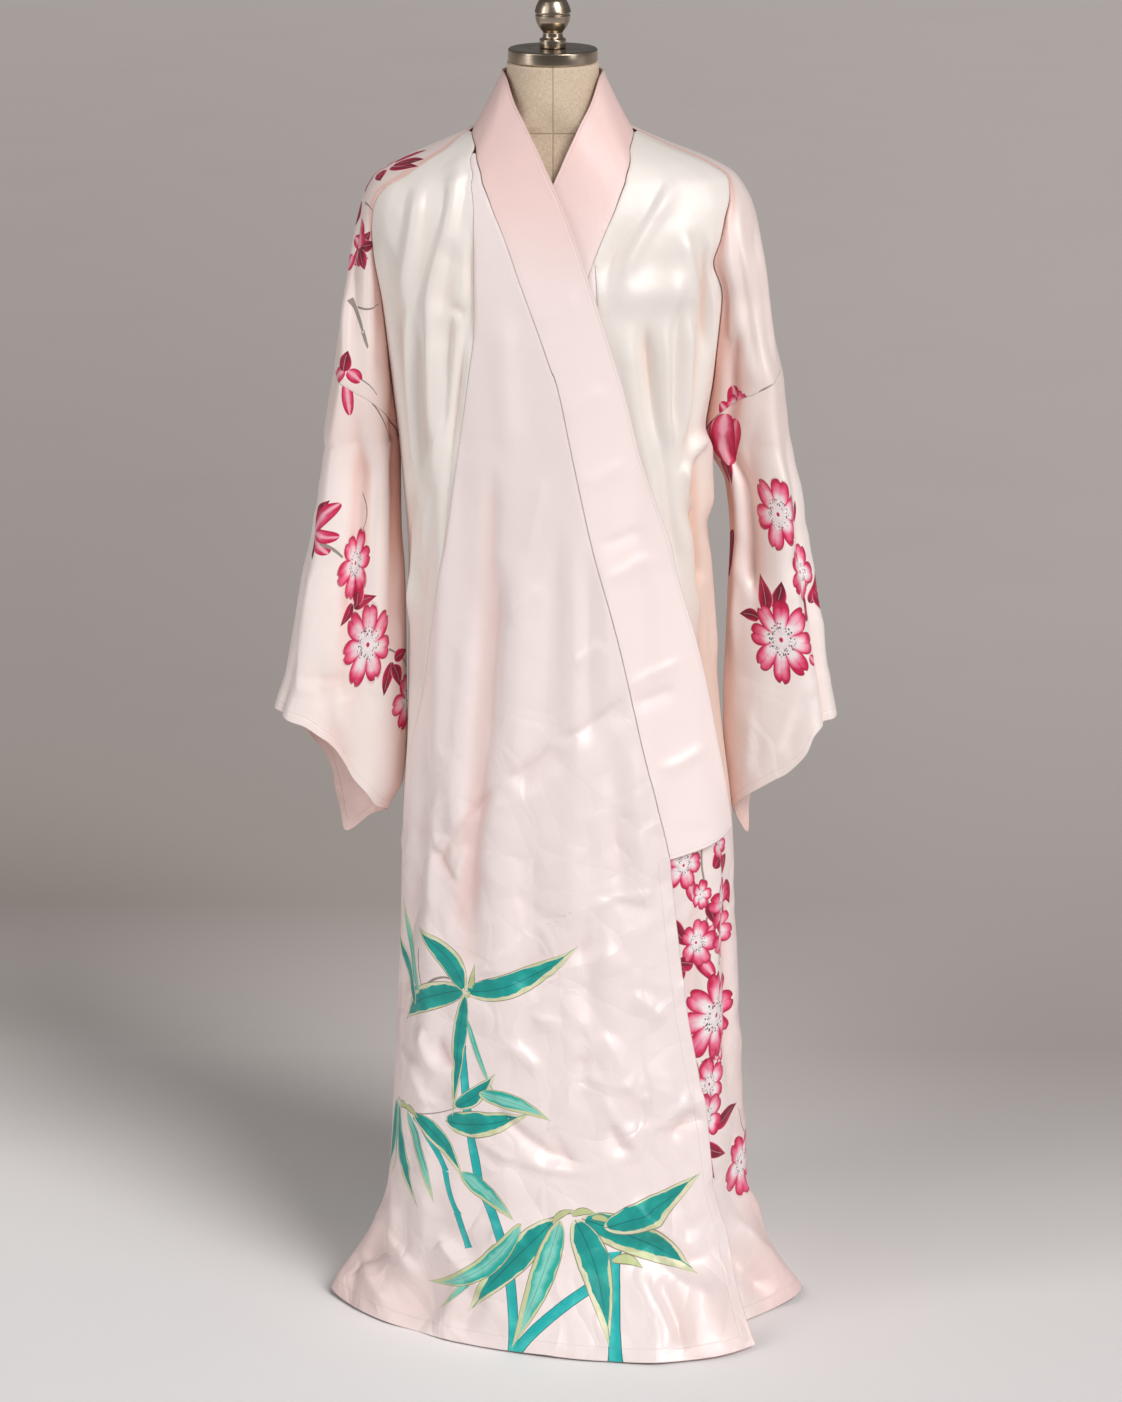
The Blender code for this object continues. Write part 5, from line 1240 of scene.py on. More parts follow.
def crumpled(nodes, cloth, normal):
    """Faint flat facets between fine fold lines, as in silk that has lain folded. They fade out upwards."""
    u, z, _ = nodes.split(cloth)
    low = nodes.step(z, 0.95, 0.50)
    wobble = nodes.noise(cloth, 9.0, 2.0) - 0.5
    for scale, height in ((8.0, 0.0140), (19.0, 0.0048)):
        place = nodes.vector(u * scale + wobble * 1.2, z * scale * 0.8 - wobble * 0.9)
        cells = nodes.add("ShaderNodeTexVoronoi", {"Vector": place, "Scale": 1.0}, feature="DISTANCE_TO_EDGE")
        normal = nodes.bump(nodes.out(cells, 0) * (0.14 + 0.86 * low), height, normal)
    return normal


SATIN = 0.12
# Dark seam lines; on the printed front the line is stronger and is partly painted shadow of the fold that
# stands along its seam.
SEAM_AND_SHADOW_BROWN = paint(150, 118, 112)
# The silk's relief: noise cells a metre and depth in metres of the threads, of a slow unevenness and of the
# puckers at seams, which fade over a centimetre or so, and at hems, where a fold's edge shows at the stitches.
THREADS, THREAD_DEPTH = (2600.0, 620.0, 1.0), 0.00004
UNEVEN, UNEVEN_DEPTH = 26.0, 0.0009
SEAM_PUCKER, SEAM_PUCKER_DEPTH, SEAM_PUCKER_FADE = 190.0, 0.0007, -140.0
HEM_PUCKER, HEM_DEPTH, HEM_PUCKER_RUN, FOLD_HALF = 120.0, 0.0004, 0.006, 0.0008


def silk(
    name, colour, warm, stitch_at=0.016, line=0.10, strokes=False, blossoms=False,
    shine=0.50, satin=SATIN, facets=True,
):
    """Satin. Its colour shades to warm with the tint, which is mostly painted shade. Seams show a line and
    puckers (on the printed front the line is partly painted shadow), hems a stitched fold.
    """
    material, nodes, shader = new_material(name)
    cloth = nodes.place("UV")
    seam, hem, tint = nodes.split(nodes.attribute("edge"))
    broad = nodes.noise(cloth, 7.0, 3.0)
    grain = nodes.noise(cloth, 48.0, 2.0, 0.5)
    # Painted shade: the warm colour laid on by the tint, with a slow unevenness.
    base = nodes.mix(nodes.step(tint + (broad - 0.5) * 0.25, 0.0, 1.0), colour, warm)
    drawn = [(STROKE_GROUP, f"stroke_{layer}") for layer in STROKE_LAYERS[::-1] if strokes]
    drawn += [(BLOSSOM_GROUP, f"blossom_{layer}") for layer in BLOSSOM_LAYERS[::-1] if blossoms]
    for group, place in drawn:
        inputs = {"Place": nodes.attribute(place), "Grain": grain, "Under": base}
        base = nodes.out(nodes.add("ShaderNodeGroup", inputs, node_tree=group))
    from_stitches = nodes.math("ABSOLUTE", hem - stitch_at)
    # The seam line: a dark joint, and where it is strong partly painted shadow of a fold.
    seam_and_shadow_line = nodes.step(seam, 0.0010, 0.0004) * line
    hem_line = nodes.step(hem, 0.0011, 0.0004) * 0.35
    stitches = nodes.step(from_stitches, 0.0008, 0.0002) * 0.10
    lines = nodes.math("MAXIMUM", nodes.math("MAXIMUM", seam_and_shadow_line, hem_line), stitches)

    rough = nodes.noise(cloth, 55.0, 2.0)
    stretch = nodes.add("ShaderNodeVectorMath", {0: cloth, 1: THREADS}, operation="MULTIPLY")
    normal = nodes.bump(nodes.noise(nodes.out(stretch), 1.0, 1.0), THREAD_DEPTH)
    normal = nodes.bump(nodes.noise(cloth, UNEVEN, 2.0), UNEVEN_DEPTH, normal)
    if facets:
        normal = crumpled(nodes, cloth, normal)
    near_seam = nodes.math("EXPONENT", seam * SEAM_PUCKER_FADE)
    normal = nodes.bump(nodes.noise(cloth, SEAM_PUCKER, 1.0) * near_seam, SEAM_PUCKER_DEPTH, normal)
    fold = nodes.step(hem, stitch_at + FOLD_HALF, stitch_at - FOLD_HALF) * 0.3
    stitched = fold - nodes.step(from_stitches, 2 * FOLD_HALF, 0.0) * 0.6
    hem_share = nodes.step(hem, stitch_at + HEM_PUCKER_RUN, stitch_at)
    near_hem = nodes.noise(cloth, HEM_PUCKER, 1.0) * hem_share * 0.5
    nodes.feed(shader, {
        "Base Color": nodes.mix(lines, base, SEAM_AND_SHADOW_BROWN),
        "Roughness": shine + 0.10 * (rough - 0.5),
        "Normal": nodes.bump(stitched + near_hem, HEM_DEPTH, normal),
        "Metallic": satin,
        "Specular IOR Level": 0.50,
        "Sheen Weight": 0.12,
        "Sheen Roughness": 0.40,
    })
    return material


# Each silk's own colour, and the warmer, darker colour that its tint lays on, mostly as painted shade.
IVORY, IVORY_WARM = paint(245, 236, 229), paint(228, 192, 174)
PINK, PINK_WARM = paint(248, 233, 230), paint(234, 194, 187)
ROSE_BAND, ROSE_BAND_WARM = paint(254, 237, 234), paint(244, 208, 202)
PEACH, PEACH_WARM = paint(251, 236, 231), paint(240, 186, 172)
LINING, LINING_WARM = paint(243, 212, 205), paint(238, 194, 182)


def linen(name):
    """Unbleached linen: a plain weave with slubs, a seam down the front and one round the neck's foot."""
    material, nodes, shader = new_material(name)
    place = nodes.place("Object")
    x, y, z = nodes.split(place)
    turn = nodes.math("ARCTAN2", x, y * -1.0) * 0.0545
    cloth = nodes.vector(turn, z)
    warp = nodes.noise(nodes.vector(turn * 1500.0, z * 160.0), 1.0, 2.0)
    weft = nodes.noise(nodes.vector(turn * 160.0, z * 1500.0), 1.0, 2.0)
    threads = warp + weft
    centre = nodes.math("ABSOLUTE", turn)
    front = nodes.step(y, 0.0, -0.004)
    level = nodes.math("ABSOLUTE", z - NECK_SEAM_Z)
    ridge = nodes.math("MINIMUM", nodes.math("MAXIMUM", centre, 1.0 - front), level)
    base = nodes.mix(nodes.step(threads, 0.80, 1.20), paint(208, 184, 157), paint(232, 212, 189))
    base = nodes.mix(nodes.noise(cloth, 30.0) * 0.35, base, paint(206, 182, 156))
    base = nodes.mix(nodes.step(ridge, 0.0010, 0.0003) * 0.50, base, paint(140, 116, 92))
    normal = nodes.bump(threads, 0.00022)
    normal = nodes.bump(nodes.step(ridge, 0.0016, 0.0004) * -1.0, 0.0005, normal)
    nodes.feed(shader, {"Base Color": base, "Roughness": 0.82, "Sheen Weight": 0.15, "Normal": normal})
    return material


def metal(name, colour, dull, roughness, scratches):
    """Brushed metal: fine turned lines round it, with dulled patches and a slightly uneven finish."""
    material, nodes, shader = new_material(name)
    place = nodes.place("Object")
    x, y, z = nodes.split(place)
    radius = (x * x + y * y) ** 0.5
    lines = nodes.noise(nodes.vector(radius * 2200.0, z * 2200.0), 1.0, 2.0)
    cloud = nodes.noise(place, 45.0, 3.0)
    nodes.feed(shader, {
        "Base Color": nodes.mix(nodes.step(cloud + 0.25 * (lines - 0.5), 0.35, 0.75), colour, dull),
        "Roughness": roughness + 0.10 * (cloud - 0.5) + 0.08 * (lines - 0.5),
        "Normal": nodes.bump(lines, scratches),
        "Tangent": nodes.out(nodes.add("ShaderNodeTangent", direction_type="RADIAL", axis="Z")),
        "Metallic": 1.0,
        "Anisotropic": 0.65,
    })
    return material


# ---------------------------------------------------------------- the robe
EDGE_STEPS = np.array([0.0, 0.0007, 0.0014, 0.0022, 0.0034, 0.0052])
NARROW_SHARE = 0.4


def edged(length, cells, low_gap=0.0, high_gap=0.0):
    """Shares of a length from end to end, with extra fine steps at both ends and a gap left there."""
    length = np.asarray(length, dtype=float)[..., None]
    steps = EDGE_STEPS * np.minimum(1.0, NARROW_SHARE * length / EDGE_STEPS[-1])
    low = (np.asarray(low_gap)[..., None] + steps) / length
    high = 1.0 - (np.asarray(high_gap)[..., None] + steps) / length
    even = np.linspace(0.0, 1.0, cells + 1)[1:-1]
    middle = low[..., -1:] * (1 - even) + high[..., -1:] * even
    return np.concatenate([low, middle, high[..., ::-1]], axis=-1)


def levels_between(high, low, cells, high_gap=0.0, low_gap=0.0):
    """Heights from high to low, with fine steps at both ends."""
    return high + (low - high) * edged(high - low, cells, high_gap, low_gap)


VALLEY_SHARE = 0.12


def valley_edge(heights):
    """How far the cloth is cut back where the front meets the arm in a valley."""
    top = ease((VALLEY_TOP_Z - heights) / VALLEY_RUN)
    foot = ease((heights - ARMPIT_Z + VALLEY_FOOT_RUN) / VALLEY_FOOT_RUN)
    sharp = ARMPIT_EDGE * ease((ARMPIT_EDGE_TOP_Z - heights) / ARMPIT_EDGE_RUN)
    return VALLEY_SHARE * top * foot * (VALLEY_EDGE + sharp)


def panel_sheet(heights, left, right, cells, layer, left_gap, right_gap):
    """A panel on the body in one layer, between two turns for each row."""
    width = front_u.at(right, heights) - front_u.at(left, heights)
    shares = edged(width, cells, left_gap, right_gap)
    turns = left[:, None] + (right - left)[:, None] * shares
    levels = np.broadcast_to(heights[:, None], turns.shape)
    sheet = Sheet(body(turns, levels, layer), front_u.at(turns, levels), levels)
    # Painted shade in the troughs, lessened near the hem.
    low = ease((HEM_TINT_Z - levels) / HEM_TINT_RUN)
    sheet.tint = trough(body_relief(turns, levels, layer)) * (1 - HEM_TINT_LOSS * low)
    return sheet


def edge_distance(sheet, edge, rows):
    """Metres to an edge in the rows where it counts, and far off elsewhere."""
    return np.where(rows[:, None], sheet.distance(edge), 1.0)


def nearest(*distances):
    """The least of several distances, at every point."""
    return np.minimum.reduce(np.broadcast_arrays(*distances))


# Painted shade in troughs: the depth at which a trough is fully shaded, the share of the warm colour it gets
# there, and how that shade lessens near the hem.
TROUGH_DEPTH, TROUGH_SHADE = 0.0140, 0.52
HEM_TINT_Z, HEM_TINT_RUN, HEM_TINT_LOSS = 0.24, 0.12, 0.65
SIDE_SEAM_SOFTER = 0.0005
# The same painted trough shade on the arms.
ARM_TROUGH_DEPTH, ARM_TROUGH_SHADE = 0.0110, 0.38


def trough(relief, depth=TROUGH_DEPTH, tint=TROUGH_SHADE):
    """Painted shade: silk in a trough is given the warm colour, in place of the shade and warm bounced light
    that fall there.
    """
    return tint * ease(-relief / depth)


# Painted shade on the arms: where it lies and how much of the warm colour it gets.
INNER_ARM, INNER_ARM_RUN, INNER_ARM_SHADE = 0.11, 0.10, 0.50
ARMPIT_SHADE_Z, ARMPIT_SHADE_REACH, ARMPIT_SHADE = 1.04, 0.22, 0.45
UPPER_ARM_Z, UPPER_ARM_RUN, UPPER_ARM_SHADE = 0.98, 0.12, 0.22


def arm_painted_shade(side, share, z):
    """Painted shade: the sleeves are warmer towards the armpit, along the inner arm and in the upper folds,
    where shade falls.
    """
    inner = ease((INNER_ARM - share) / INNER_ARM_RUN) + ease((share - 1 + INNER_ARM) / INNER_ARM_RUN)
    armpit = ease(1 - np.abs(z - ARMPIT_SHADE_Z) / ARMPIT_SHADE_REACH)
    upper = UPPER_ARM_SHADE * ease((z - UPPER_ARM_Z) / UPPER_ARM_RUN)
    folds = trough(arm_relief(side, share, z), ARM_TROUGH_DEPTH, ARM_TROUGH_SHADE)
    return (INNER_ARM_SHADE + ARMPIT_SHADE * armpit) * inner + upper + folds


# Painted shade on the fronts, which grow warmer sideways where shade falls: share of the tint, way (-1 to the
# right, 1 to the left), start, run.
SIDE_SHADE = {"right": ((0.4, -1, 0.18, 0.08),), "left": ((0.6, 1, 0.125, 0.08),)}
SIDE_SHADE_Z, SIDE_SHADE_RUN = 1.20, 0.26
# The same painted shade on the printed fronts, towards their sides and near the hem; the left front also has
# an even warm tone of its own.
RIGHT_SHADE = ((0.36, -1, 0.14, 0.14),)
RIGHT_LOW_SHADE, RIGHT_LOW_Z, RIGHT_LOW_RUN = ((0.10, -1, 0.02, 0.10), (0.30, 1, 0.12, 0.06)), 0.14, 0.10
LEFT_SHADE, LEFT_WARM_ALL = ((0.4, 1, 0.24, 0.08),), 0.15
FRONTS = {
    # the seam between the side front and the printed front, its turn, the free edge's turn, the layer
    "right": (PRINT_SEAM, print_seam_at, wrap_edge_at, "outer"),
    "left": (HIDDEN_SEAM, hidden_seam_at, under_edge_at, "under"),
}
SIDE_ROWS, SIDE_CELLS = 200, 70
RIGHT_ROWS, RIGHT_CELLS = 356, 122
LEFT_ROWS, LEFT_CELLS = 280, 100
PANEL_OVERLAP = 0.004


def painted_side_shade(u, rows):
    """Painted shade: the warm colour that comes in sideways."""
    return sum(share * ease((way * u - start) / run) for share, way, start, run in rows)


def make_side_front(side):
    """The ivory side front, from the shoulder seam to the printed front or the collar."""
    seam, seam_at, _, layer = FRONTS[side]
    heights = levels_between(FRONT_TOP_Z, seam[0][0] + PANEL_OVERLAP, SIDE_ROWS, SEAM_GAP / 2)
    inner = np.where(heights > seam[-1][0], -SIDE_SIGN[side] * collar_seam_at(heights), seam_at(heights))
    edges = [(seam_turn(side, heights), SEAM_GAP / 2 + valley_edge(heights)), (inner, SEAM_GAP / 2)]
    (left, left_gap), (right, right_gap) = edges if side == "right" else edges[::-1]
    sheet = panel_sheet(heights, left, right, SIDE_CELLS, layer, left_gap, right_gap)
    sheet.seam = nearest(*(sheet.distance(edge) for edge in ("left", "right", "top")))
    # Painted shade: warmer towards the side, low down.
    low = ease((SIDE_SHADE_Z - sheet.uv[..., 1]) / SIDE_SHADE_RUN)
    sheet.tint += low * painted_side_shade(sheet.uv[..., 0], SIDE_SHADE[side])
    return make_shell(f"silk_side_front_{side}", sheet, SILK, (IVORY_SILK, LINING_SILK))


def overlap_sheet(side, top, rows, cells):
    """A printed front, sewn to its side front and above to the collar, with a free front edge below."""
    seam, seam_at, free_edge_at, layer = FRONTS[side]
    heights = levels_between(top, HEM_Z, rows, SEAM_GAP / 2)
    below_seam, sewn = heights <= seam[0][0], heights > WRAP_END_Z
    outside = np.where(below_seam, SIDE_SIGN[side] * 90.0, seam_at(heights))
    inside = np.where(sewn, -SIDE_SIGN[side] * collar_seam_at(heights), free_edge_at(heights))
    left, right, outer, inner = outside, inside, "left", "right"
    if side == "left":
        left, right, outer, inner = inside, outside, "right", "left"
    sheet = panel_sheet(heights, left, right, cells, layer, SEAM_GAP / 2, SEAM_GAP / 2)
    softer = np.where(below_seam, SIDE_SEAM_SOFTER, 0.0)[:, None]
    sheet.seam = nearest(sheet.distance(outer) + softer, edge_distance(sheet, inner, sewn))
    sheet.hem = nearest(sheet.distance("bottom"), edge_distance(sheet, inner, ~sewn))
    return sheet


def make_overlap_right():
    """The printed right front, which lies on top."""
    sheet = overlap_sheet("right", PRINT_SEAM[-1][0] - PANEL_OVERLAP, RIGHT_ROWS, RIGHT_CELLS)
    u, z = sheet.uv[..., 0], sheet.uv[..., 1]
    # Painted shade towards the sides and near the hem.
    low = ease((RIGHT_LOW_Z - z) / RIGHT_LOW_RUN)
    sheet.tint += painted_side_shade(u, RIGHT_SHADE) + low * painted_side_shade(u, RIGHT_LOW_SHADE)
    return make_shell("silk_overlap_right", sheet, SILK, (PRINTED_SILK, LINING_SILK), prints=[(BAMBOO, {})])


def make_overlap_left():
    """The printed left front, which lies under the right one."""
    sheet = overlap_sheet("left", HIDDEN_SEAM[-1][0], LEFT_ROWS, LEFT_CELLS)
    # An even warm tone of its own, with painted shade towards the side.
    sheet.tint += LEFT_WARM_ALL + painted_side_shade(sheet.uv[..., 0], LEFT_SHADE)
    prints = [(PANEL_SPRAYS, PANEL_BLOSSOMS)]
    return make_shell("silk_overlap_left", sheet, SILK, (BLOSSOM_SILK, LINING_SILK), prints=prints)


TORSO_CELLS, LOBE_CELLS = 122, 50
UPPER_ROWS, LOWER_ROWS = 72, 180
LOBE_LEAST = 0.02
BACK_TINT = 0.15
CENTRE_SEAM_SOFTER = 0.0002


def make_lobe(side, heights):
    """An upper arm, its rows drawn up towards the dropped seam: each place, u, z, seam and tint, which is
    painted shade.
    """
    girth = np.maximum(arm_u[side].at(1.0, heights) - arm_u[side].at(0.0, heights), LOBE_LEAST)
    share = edged(girth, LOBE_CELLS, SEAM_GAP / 2 + 2 * valley_edge(heights))
    stretch = (ARM_START_Z - drop_seam_z(share)) / (ARM_START_Z - ARMPIT_Z)
    level = np.broadcast_to(heights[:, None], share.shape)
    level = np.where(level < ARM_START_Z, ARM_START_Z - (ARM_START_Z - level) * stretch, level)
    seam = np.minimum((share - share[:, :1]) * girth[:, None], np.maximum(level - drop_seam_z(share), 0.0))
    facts = np.stack([arm_u[side].at(share, level), level, seam, arm_painted_shade(side, share, level)], axis=-1)
    lobe = np.concatenate([arm(side, share, level), facts], axis=-1)
    return lobe if side == "left" else lobe[:, ::-1]


def make_back():
    """The back with both upper arms, in one piece. Below the armpits the arms' columns have no cloth."""
    upper = levels_between(NECK_Z, ARMPIT_Z, UPPER_ROWS, SEAM_GAP / 2)
    lower = levels_between(ARMPIT_Z, HEM_Z, LOWER_ROWS)[1:]
    heights, count = np.concatenate([upper, lower]), len(upper)
    far = 90.0 - np.where(heights >= ARMPIT_Z, back_valley_at(heights), 0.0)
    width = back_u.at(far, heights) - back_u.at(-far, heights)
    side_gap = np.where(heights < ARMPIT_Z - 0.001, SEAM_GAP / 2, 0.0)
    shares = edged(width, TORSO_CELLS, side_gap, side_gap)
    turns = far[:, None] * (2 * shares - 1)
    levels = np.broadcast_to(heights[:, None], turns.shape)
    u = back_u.at(turns, levels)
    side_seam = np.where(levels < ARMPIT_Z, np.minimum(shares, 1 - shares) * width[:, None], 1.0)
    seam = np.minimum(side_seam, np.abs(u) + CENTRE_SEAM_SOFTER)
    facts = np.stack([u, levels, seam, np.full(u.shape, BACK_TINT)], axis=-1)
    torso = np.concatenate([body(turns + 180.0, levels), facts], axis=-1)

    left, right = make_lobe("left", upper), make_lobe("right", upper)
    first = left.shape[1] - 1
    last = first + turns.shape[1] - 1
    cloth = np.pad(torso, ((0, 0), (first, first), (0, 0)), mode="edge")
    cloth[:count, :first], cloth[:count, last + 1:] = left[:, :-1], right[:, 1:]
    points, u, z = cloth[..., :3], cloth[..., 3], cloth[..., 4]
    keep = np.zeros((len(heights) - 1, cloth.shape[1] - 1), bool)
    keep[:, first:last] = True
    keep[:count - 1] = True
    normals = grid_normals(points)
    normals[:count] = grid_normals(points[:count])
    normals[count:, first:last + 1] = grid_normals(points[count - 1:, first:last + 1])[1:]

    sheet = Sheet(points, u, z, keep=keep)
    sheet.seam, sheet.tint = np.minimum(cloth[..., 5], np.maximum(NECK_Z - z, 0.0)), cloth[..., 6]
    sheet.hem[:, first:last + 1] = (heights - HEM_Z)[:, None]

    def part(columns):
        """Which set of motifs is drawn: 0 the back's, 1 the left arm's, 2 the right arm's."""
        return np.where(columns < first, 1, np.where(columns >= last, 2, 0))

    prints = [(mirrored(BACK_BAMBOO), {})]
    prints += [(SHOULDER_SPRAYS[side], SHOULDER_BLOSSOMS[side]) for side in ("left", "right")]
    silks = (BACK_SILK, LINING_SILK)
    return make_shell("silk_back", sheet, SILK, silks, normals=normals, prints=prints, part=part)


SLEEVE_ROWS, SLEEVE_CELLS, SLEEVE_LENGTH = 95, 120, 0.38


def make_sleeve(side):
    """A sleeve from the dropped seam to the cuff, as a closed ring of cloth."""
    shares = np.arange(SLEEVE_CELLS) / SLEEVE_CELLS
    top = drop_seam_z(shares) - SEAM_GAP
    bottom = cuff_at[side](shares)
    way = edged(SLEEVE_LENGTH, SLEEVE_ROWS)
    levels = top[None, :] * (1 - way[:, None]) + bottom[None, :] * way[:, None]
    share = np.broadcast_to(shares, levels.shape)
    points = arm(side, share, levels, sleeve=True)
    u = arm_u[side].at(share, levels)
    # Painted shade on the sleeve.
    tint = arm_painted_shade(side, share, levels)
    if side == "right":
        points, u, levels, tint = points[:, ::-1], u[:, ::-1], levels[:, ::-1], tint[:, ::-1]
    sheet = Sheet(points, u, levels, closed=True)
    sheet.seam, sheet.hem, sheet.tint = sheet.distance("top"), sheet.distance("bottom"), tint
    prints = [(SLEEVE_SPRAYS[side], SLEEVE_BLOSSOMS[side])]
    return make_shell(f"silk_sleeve_{side}", sheet, SILK, (SLEEVE_SILK, LINING_SILK), prints=prints)


BAND_BULGE, BAND_BULGE_POWER = 0.0011, 0.6
# The band's own even warm tone, and painted shade that makes its upper part warmer and darker.
BAND_TINT, BAND_TOP_SHADE, BAND_TOP_SHADE_Z, BAND_TOP_SHADE_RUN = 0.10, 0.75, 1.20, 0.24
NECK_CELLS = 90
BAND_SEAM_SHARE, BAND_SEAM_RUN = 0.40, 0.0060
BAND_ROWS, BAND_CELLS = 260, 12
BLEND_Z, BLEND_RUN = 1.335, 0.035


def neck_edge():
    """The standing free edge: a function from 0 at the centre back to 1 where the fronts cross."""
    points = np.array(NECK_EDGE)
    ways = np.concatenate([[0.0], np.cumsum(np.linalg.norm(np.diff(points, axis=0), axis=1))])
    return smooth_table([(way, *point) for way, point in zip(ways / ways[-1], points)])


def straight_rows(start, end, lift):
    """Cross rows of the collar, straight from its seam to its free edge."""
    across = edged(np.linalg.norm(end - start, axis=-1), BAND_CELLS, lift)
    return start[:, None] + (end - start)[:, None] * across[..., None]


def collar_front(side, neck):
    """The collar's cross rows on one front, from its lower end up to the side of the neck."""
    z = WRAP_END_Z + (NECK_Z - WRAP_END_Z) * edged(NECK_Z - WRAP_END_Z, BAND_ROWS)
    mirror = 1.0 if side == "right" else -1.0
    layer = "outer" if side == "right" else "under"
    edge_z = z + EDGE_RISE + EDGE_EXTRA_RISE * ease((z - EDGE_EXTRA_Z) / EDGE_EXTRA_RUN)
    seam, edge = collar_seam_at(z), collar_edge_at(edge_z)
    start = body(mirror * seam, z, layer)
    lift = SEAM_GAP / 2 + COLLAR_LIFT * ease((z - COLLAR_LIFT_Z) / COLLAR_LIFT_RUN)
    width = np.linalg.norm(body(mirror * edge, edge_z, layer) - start, axis=-1)
    across = edged(width, BAND_CELLS, lift)
    turns = seam[:, None] + (edge - seam)[:, None] * across
    levels = z[:, None] + (edge_z - z)[:, None] * across
    on_body = body(mirror * turns, levels, layer)
    place = np.minimum(NECK_SIDE + (1 - NECK_SIDE) * (NECK_Z - z) / (NECK_Z - COLLAR_STANDS_Z), 1.0)
    x, y, top = np.moveaxis(neck(place), -1, 0)
    straight = straight_rows(start, np.stack([-mirror * x, y, top], axis=-1), lift)
    share = ease((z - BLEND_Z) / BLEND_RUN)[:, None, None]
    return on_body * (1 - share) + straight * share


def make_collar():
    """The long doubled band: up one front, round the neck and down the other."""
    neck = neck_edge()
    turns = wrapped(np.linspace(-NECK_SIDE_TURN, NECK_SIDE_TURN - 360.0, NECK_CELLS)[1:-1])
    start = body(turns, NECK_Z)
    x, y, z = np.moveaxis(neck(NECK_SIDE * (180.0 - np.abs(turns)) / (180.0 - NECK_SIDE_TURN)), -1, 0)
    end = np.stack([np.sign(turns) * x, y, z], axis=-1)
    back = straight_rows(start, end, np.full(len(turns), SEAM_GAP / 2 + COLLAR_LIFT))
    right, left = collar_front("right", neck), collar_front("left", neck)
    points = np.concatenate([right, back, left[::-1]])
    sheet = Sheet(points, 0.0, 0.0)
    sheet.seam = sheet.distance("left")
    sheet.hem = nearest(*(sheet.distance(edge) for edge in ("right", "top", "bottom")))
    along = np.concatenate([[0.0], np.cumsum(np.linalg.norm(np.diff(points.mean(axis=1), axis=0), axis=1))])
    sheet.uv = np.stack(np.broadcast_arrays(along[:, None], sheet.seam), axis=-1)
    arch = np.maximum(np.sin(np.pi * sheet.seam / sheet.seam[:, -1:]), 0.0)
    bulge = BAND_BULGE * arch**BAND_BULGE_POWER
    normals = grid_normals(points)
    sheet.points = points + normals * bulge[..., None]
    # An even warm tone of its own, and painted shade higher up.
    sheet.tint = BAND_TINT + BAND_TOP_SHADE * ease((points[..., 2] - BAND_TOP_SHADE_Z) / BAND_TOP_SHADE_RUN)
    wall = BAND * (BAND_SEAM_SHARE + (1 - BAND_SEAM_SHARE) * ease(sheet.seam / BAND_SEAM_RUN))
    return make_shell("silk_collar", sheet, wall, (BAND_SILK, BAND_SILK), normals=normals)


# ---------------------------------------------------------------- the dress form and its fittings
SHOULDER_SEAT, FRONT_CLEARANCE = 0.0016, 0.0050
NECK_DROP, NECK_DROP_Z, NECK_DROP_RUN = 0.0036, 1.405, 0.020
CLOTH_WALL = 0.0016
NECK_TOP_Z, NECK_RADIUS = 1.5137, 0.0535
CAP_RADIUS, CAP_HEIGHT, CAP_BEVEL = 0.052, 0.016, 0.0016
NECK_SEAM_Z = 1.4375
FORM = (
    # z     side   front  back   middle  corner
    (0.705, 0.138, 0.090, 0.098, 0.004, 2.2),
    (0.720, 0.150, 0.100, 0.106, 0.004, 2.2),
    (0.800, 0.159, 0.112, 0.108, 0.002, 2.2),
    (0.880, 0.157, 0.112, 0.104, 0.002, 2.2),
    (0.960, 0.142, 0.102, 0.094, 0.000, 2.2),
    (1.040, 0.124, 0.088, 0.084, 0.000, 2.2),
    (1.110, 0.136, 0.096, 0.086, 0.000, 2.2),
    (1.180, 0.158, 0.113, 0.094, 0.000, 2.2),
    (1.240, 0.172, 0.117, 0.099, 0.000, 2.2),
    (1.290, 0.186, 0.108, 0.103, 0.000, 2.3),
    (1.330, 0.196, 0.098, 0.102, 0.000, 2.3),
)
FORM_NECK = (
    # z     radius
    (1.4445, 0.0700), (1.4540, 0.0610), (1.4680, 0.0565), (1.4850, 0.0545), (1.5000, NECK_RADIUS),
    (NECK_TOP_Z, NECK_RADIUS),
)
FINIAL = (
    # radius  height above the cap
    (0.0155, 0.0003), (0.0155, 0.0100), (0.0145, 0.0110), (0.0120, 0.0120), (0.0115, 0.0180),
    (0.0125, 0.0195), (0.0165, 0.0245), (0.0195, 0.0310), (0.0205, 0.0380), (0.0192, 0.0388),
    (0.0192, 0.0400), (0.0212, 0.0408), (0.0211, 0.0425), (0.0190, 0.0490), (0.0163, 0.0545),
    (0.0120, 0.0605), (0.0060, 0.0645),
)
FORM_SIDES, METAL_SIDES = 112, 96
NECK_FOOT_RUN = 0.036
SLIM_ROWS, BLEND_ROWS, SHOULDER_ROWS, NECK_ROWS = 90, 4, 18, 26
SHOULDER_FOOT_Z = 1.362
FOOT_SHARE, FOOT_BEVEL = 0.86, 0.0015
END_HOLE = 0.02
form_at = smooth_table(FORM)
form_neck_at = smooth_line(FORM_NECK)


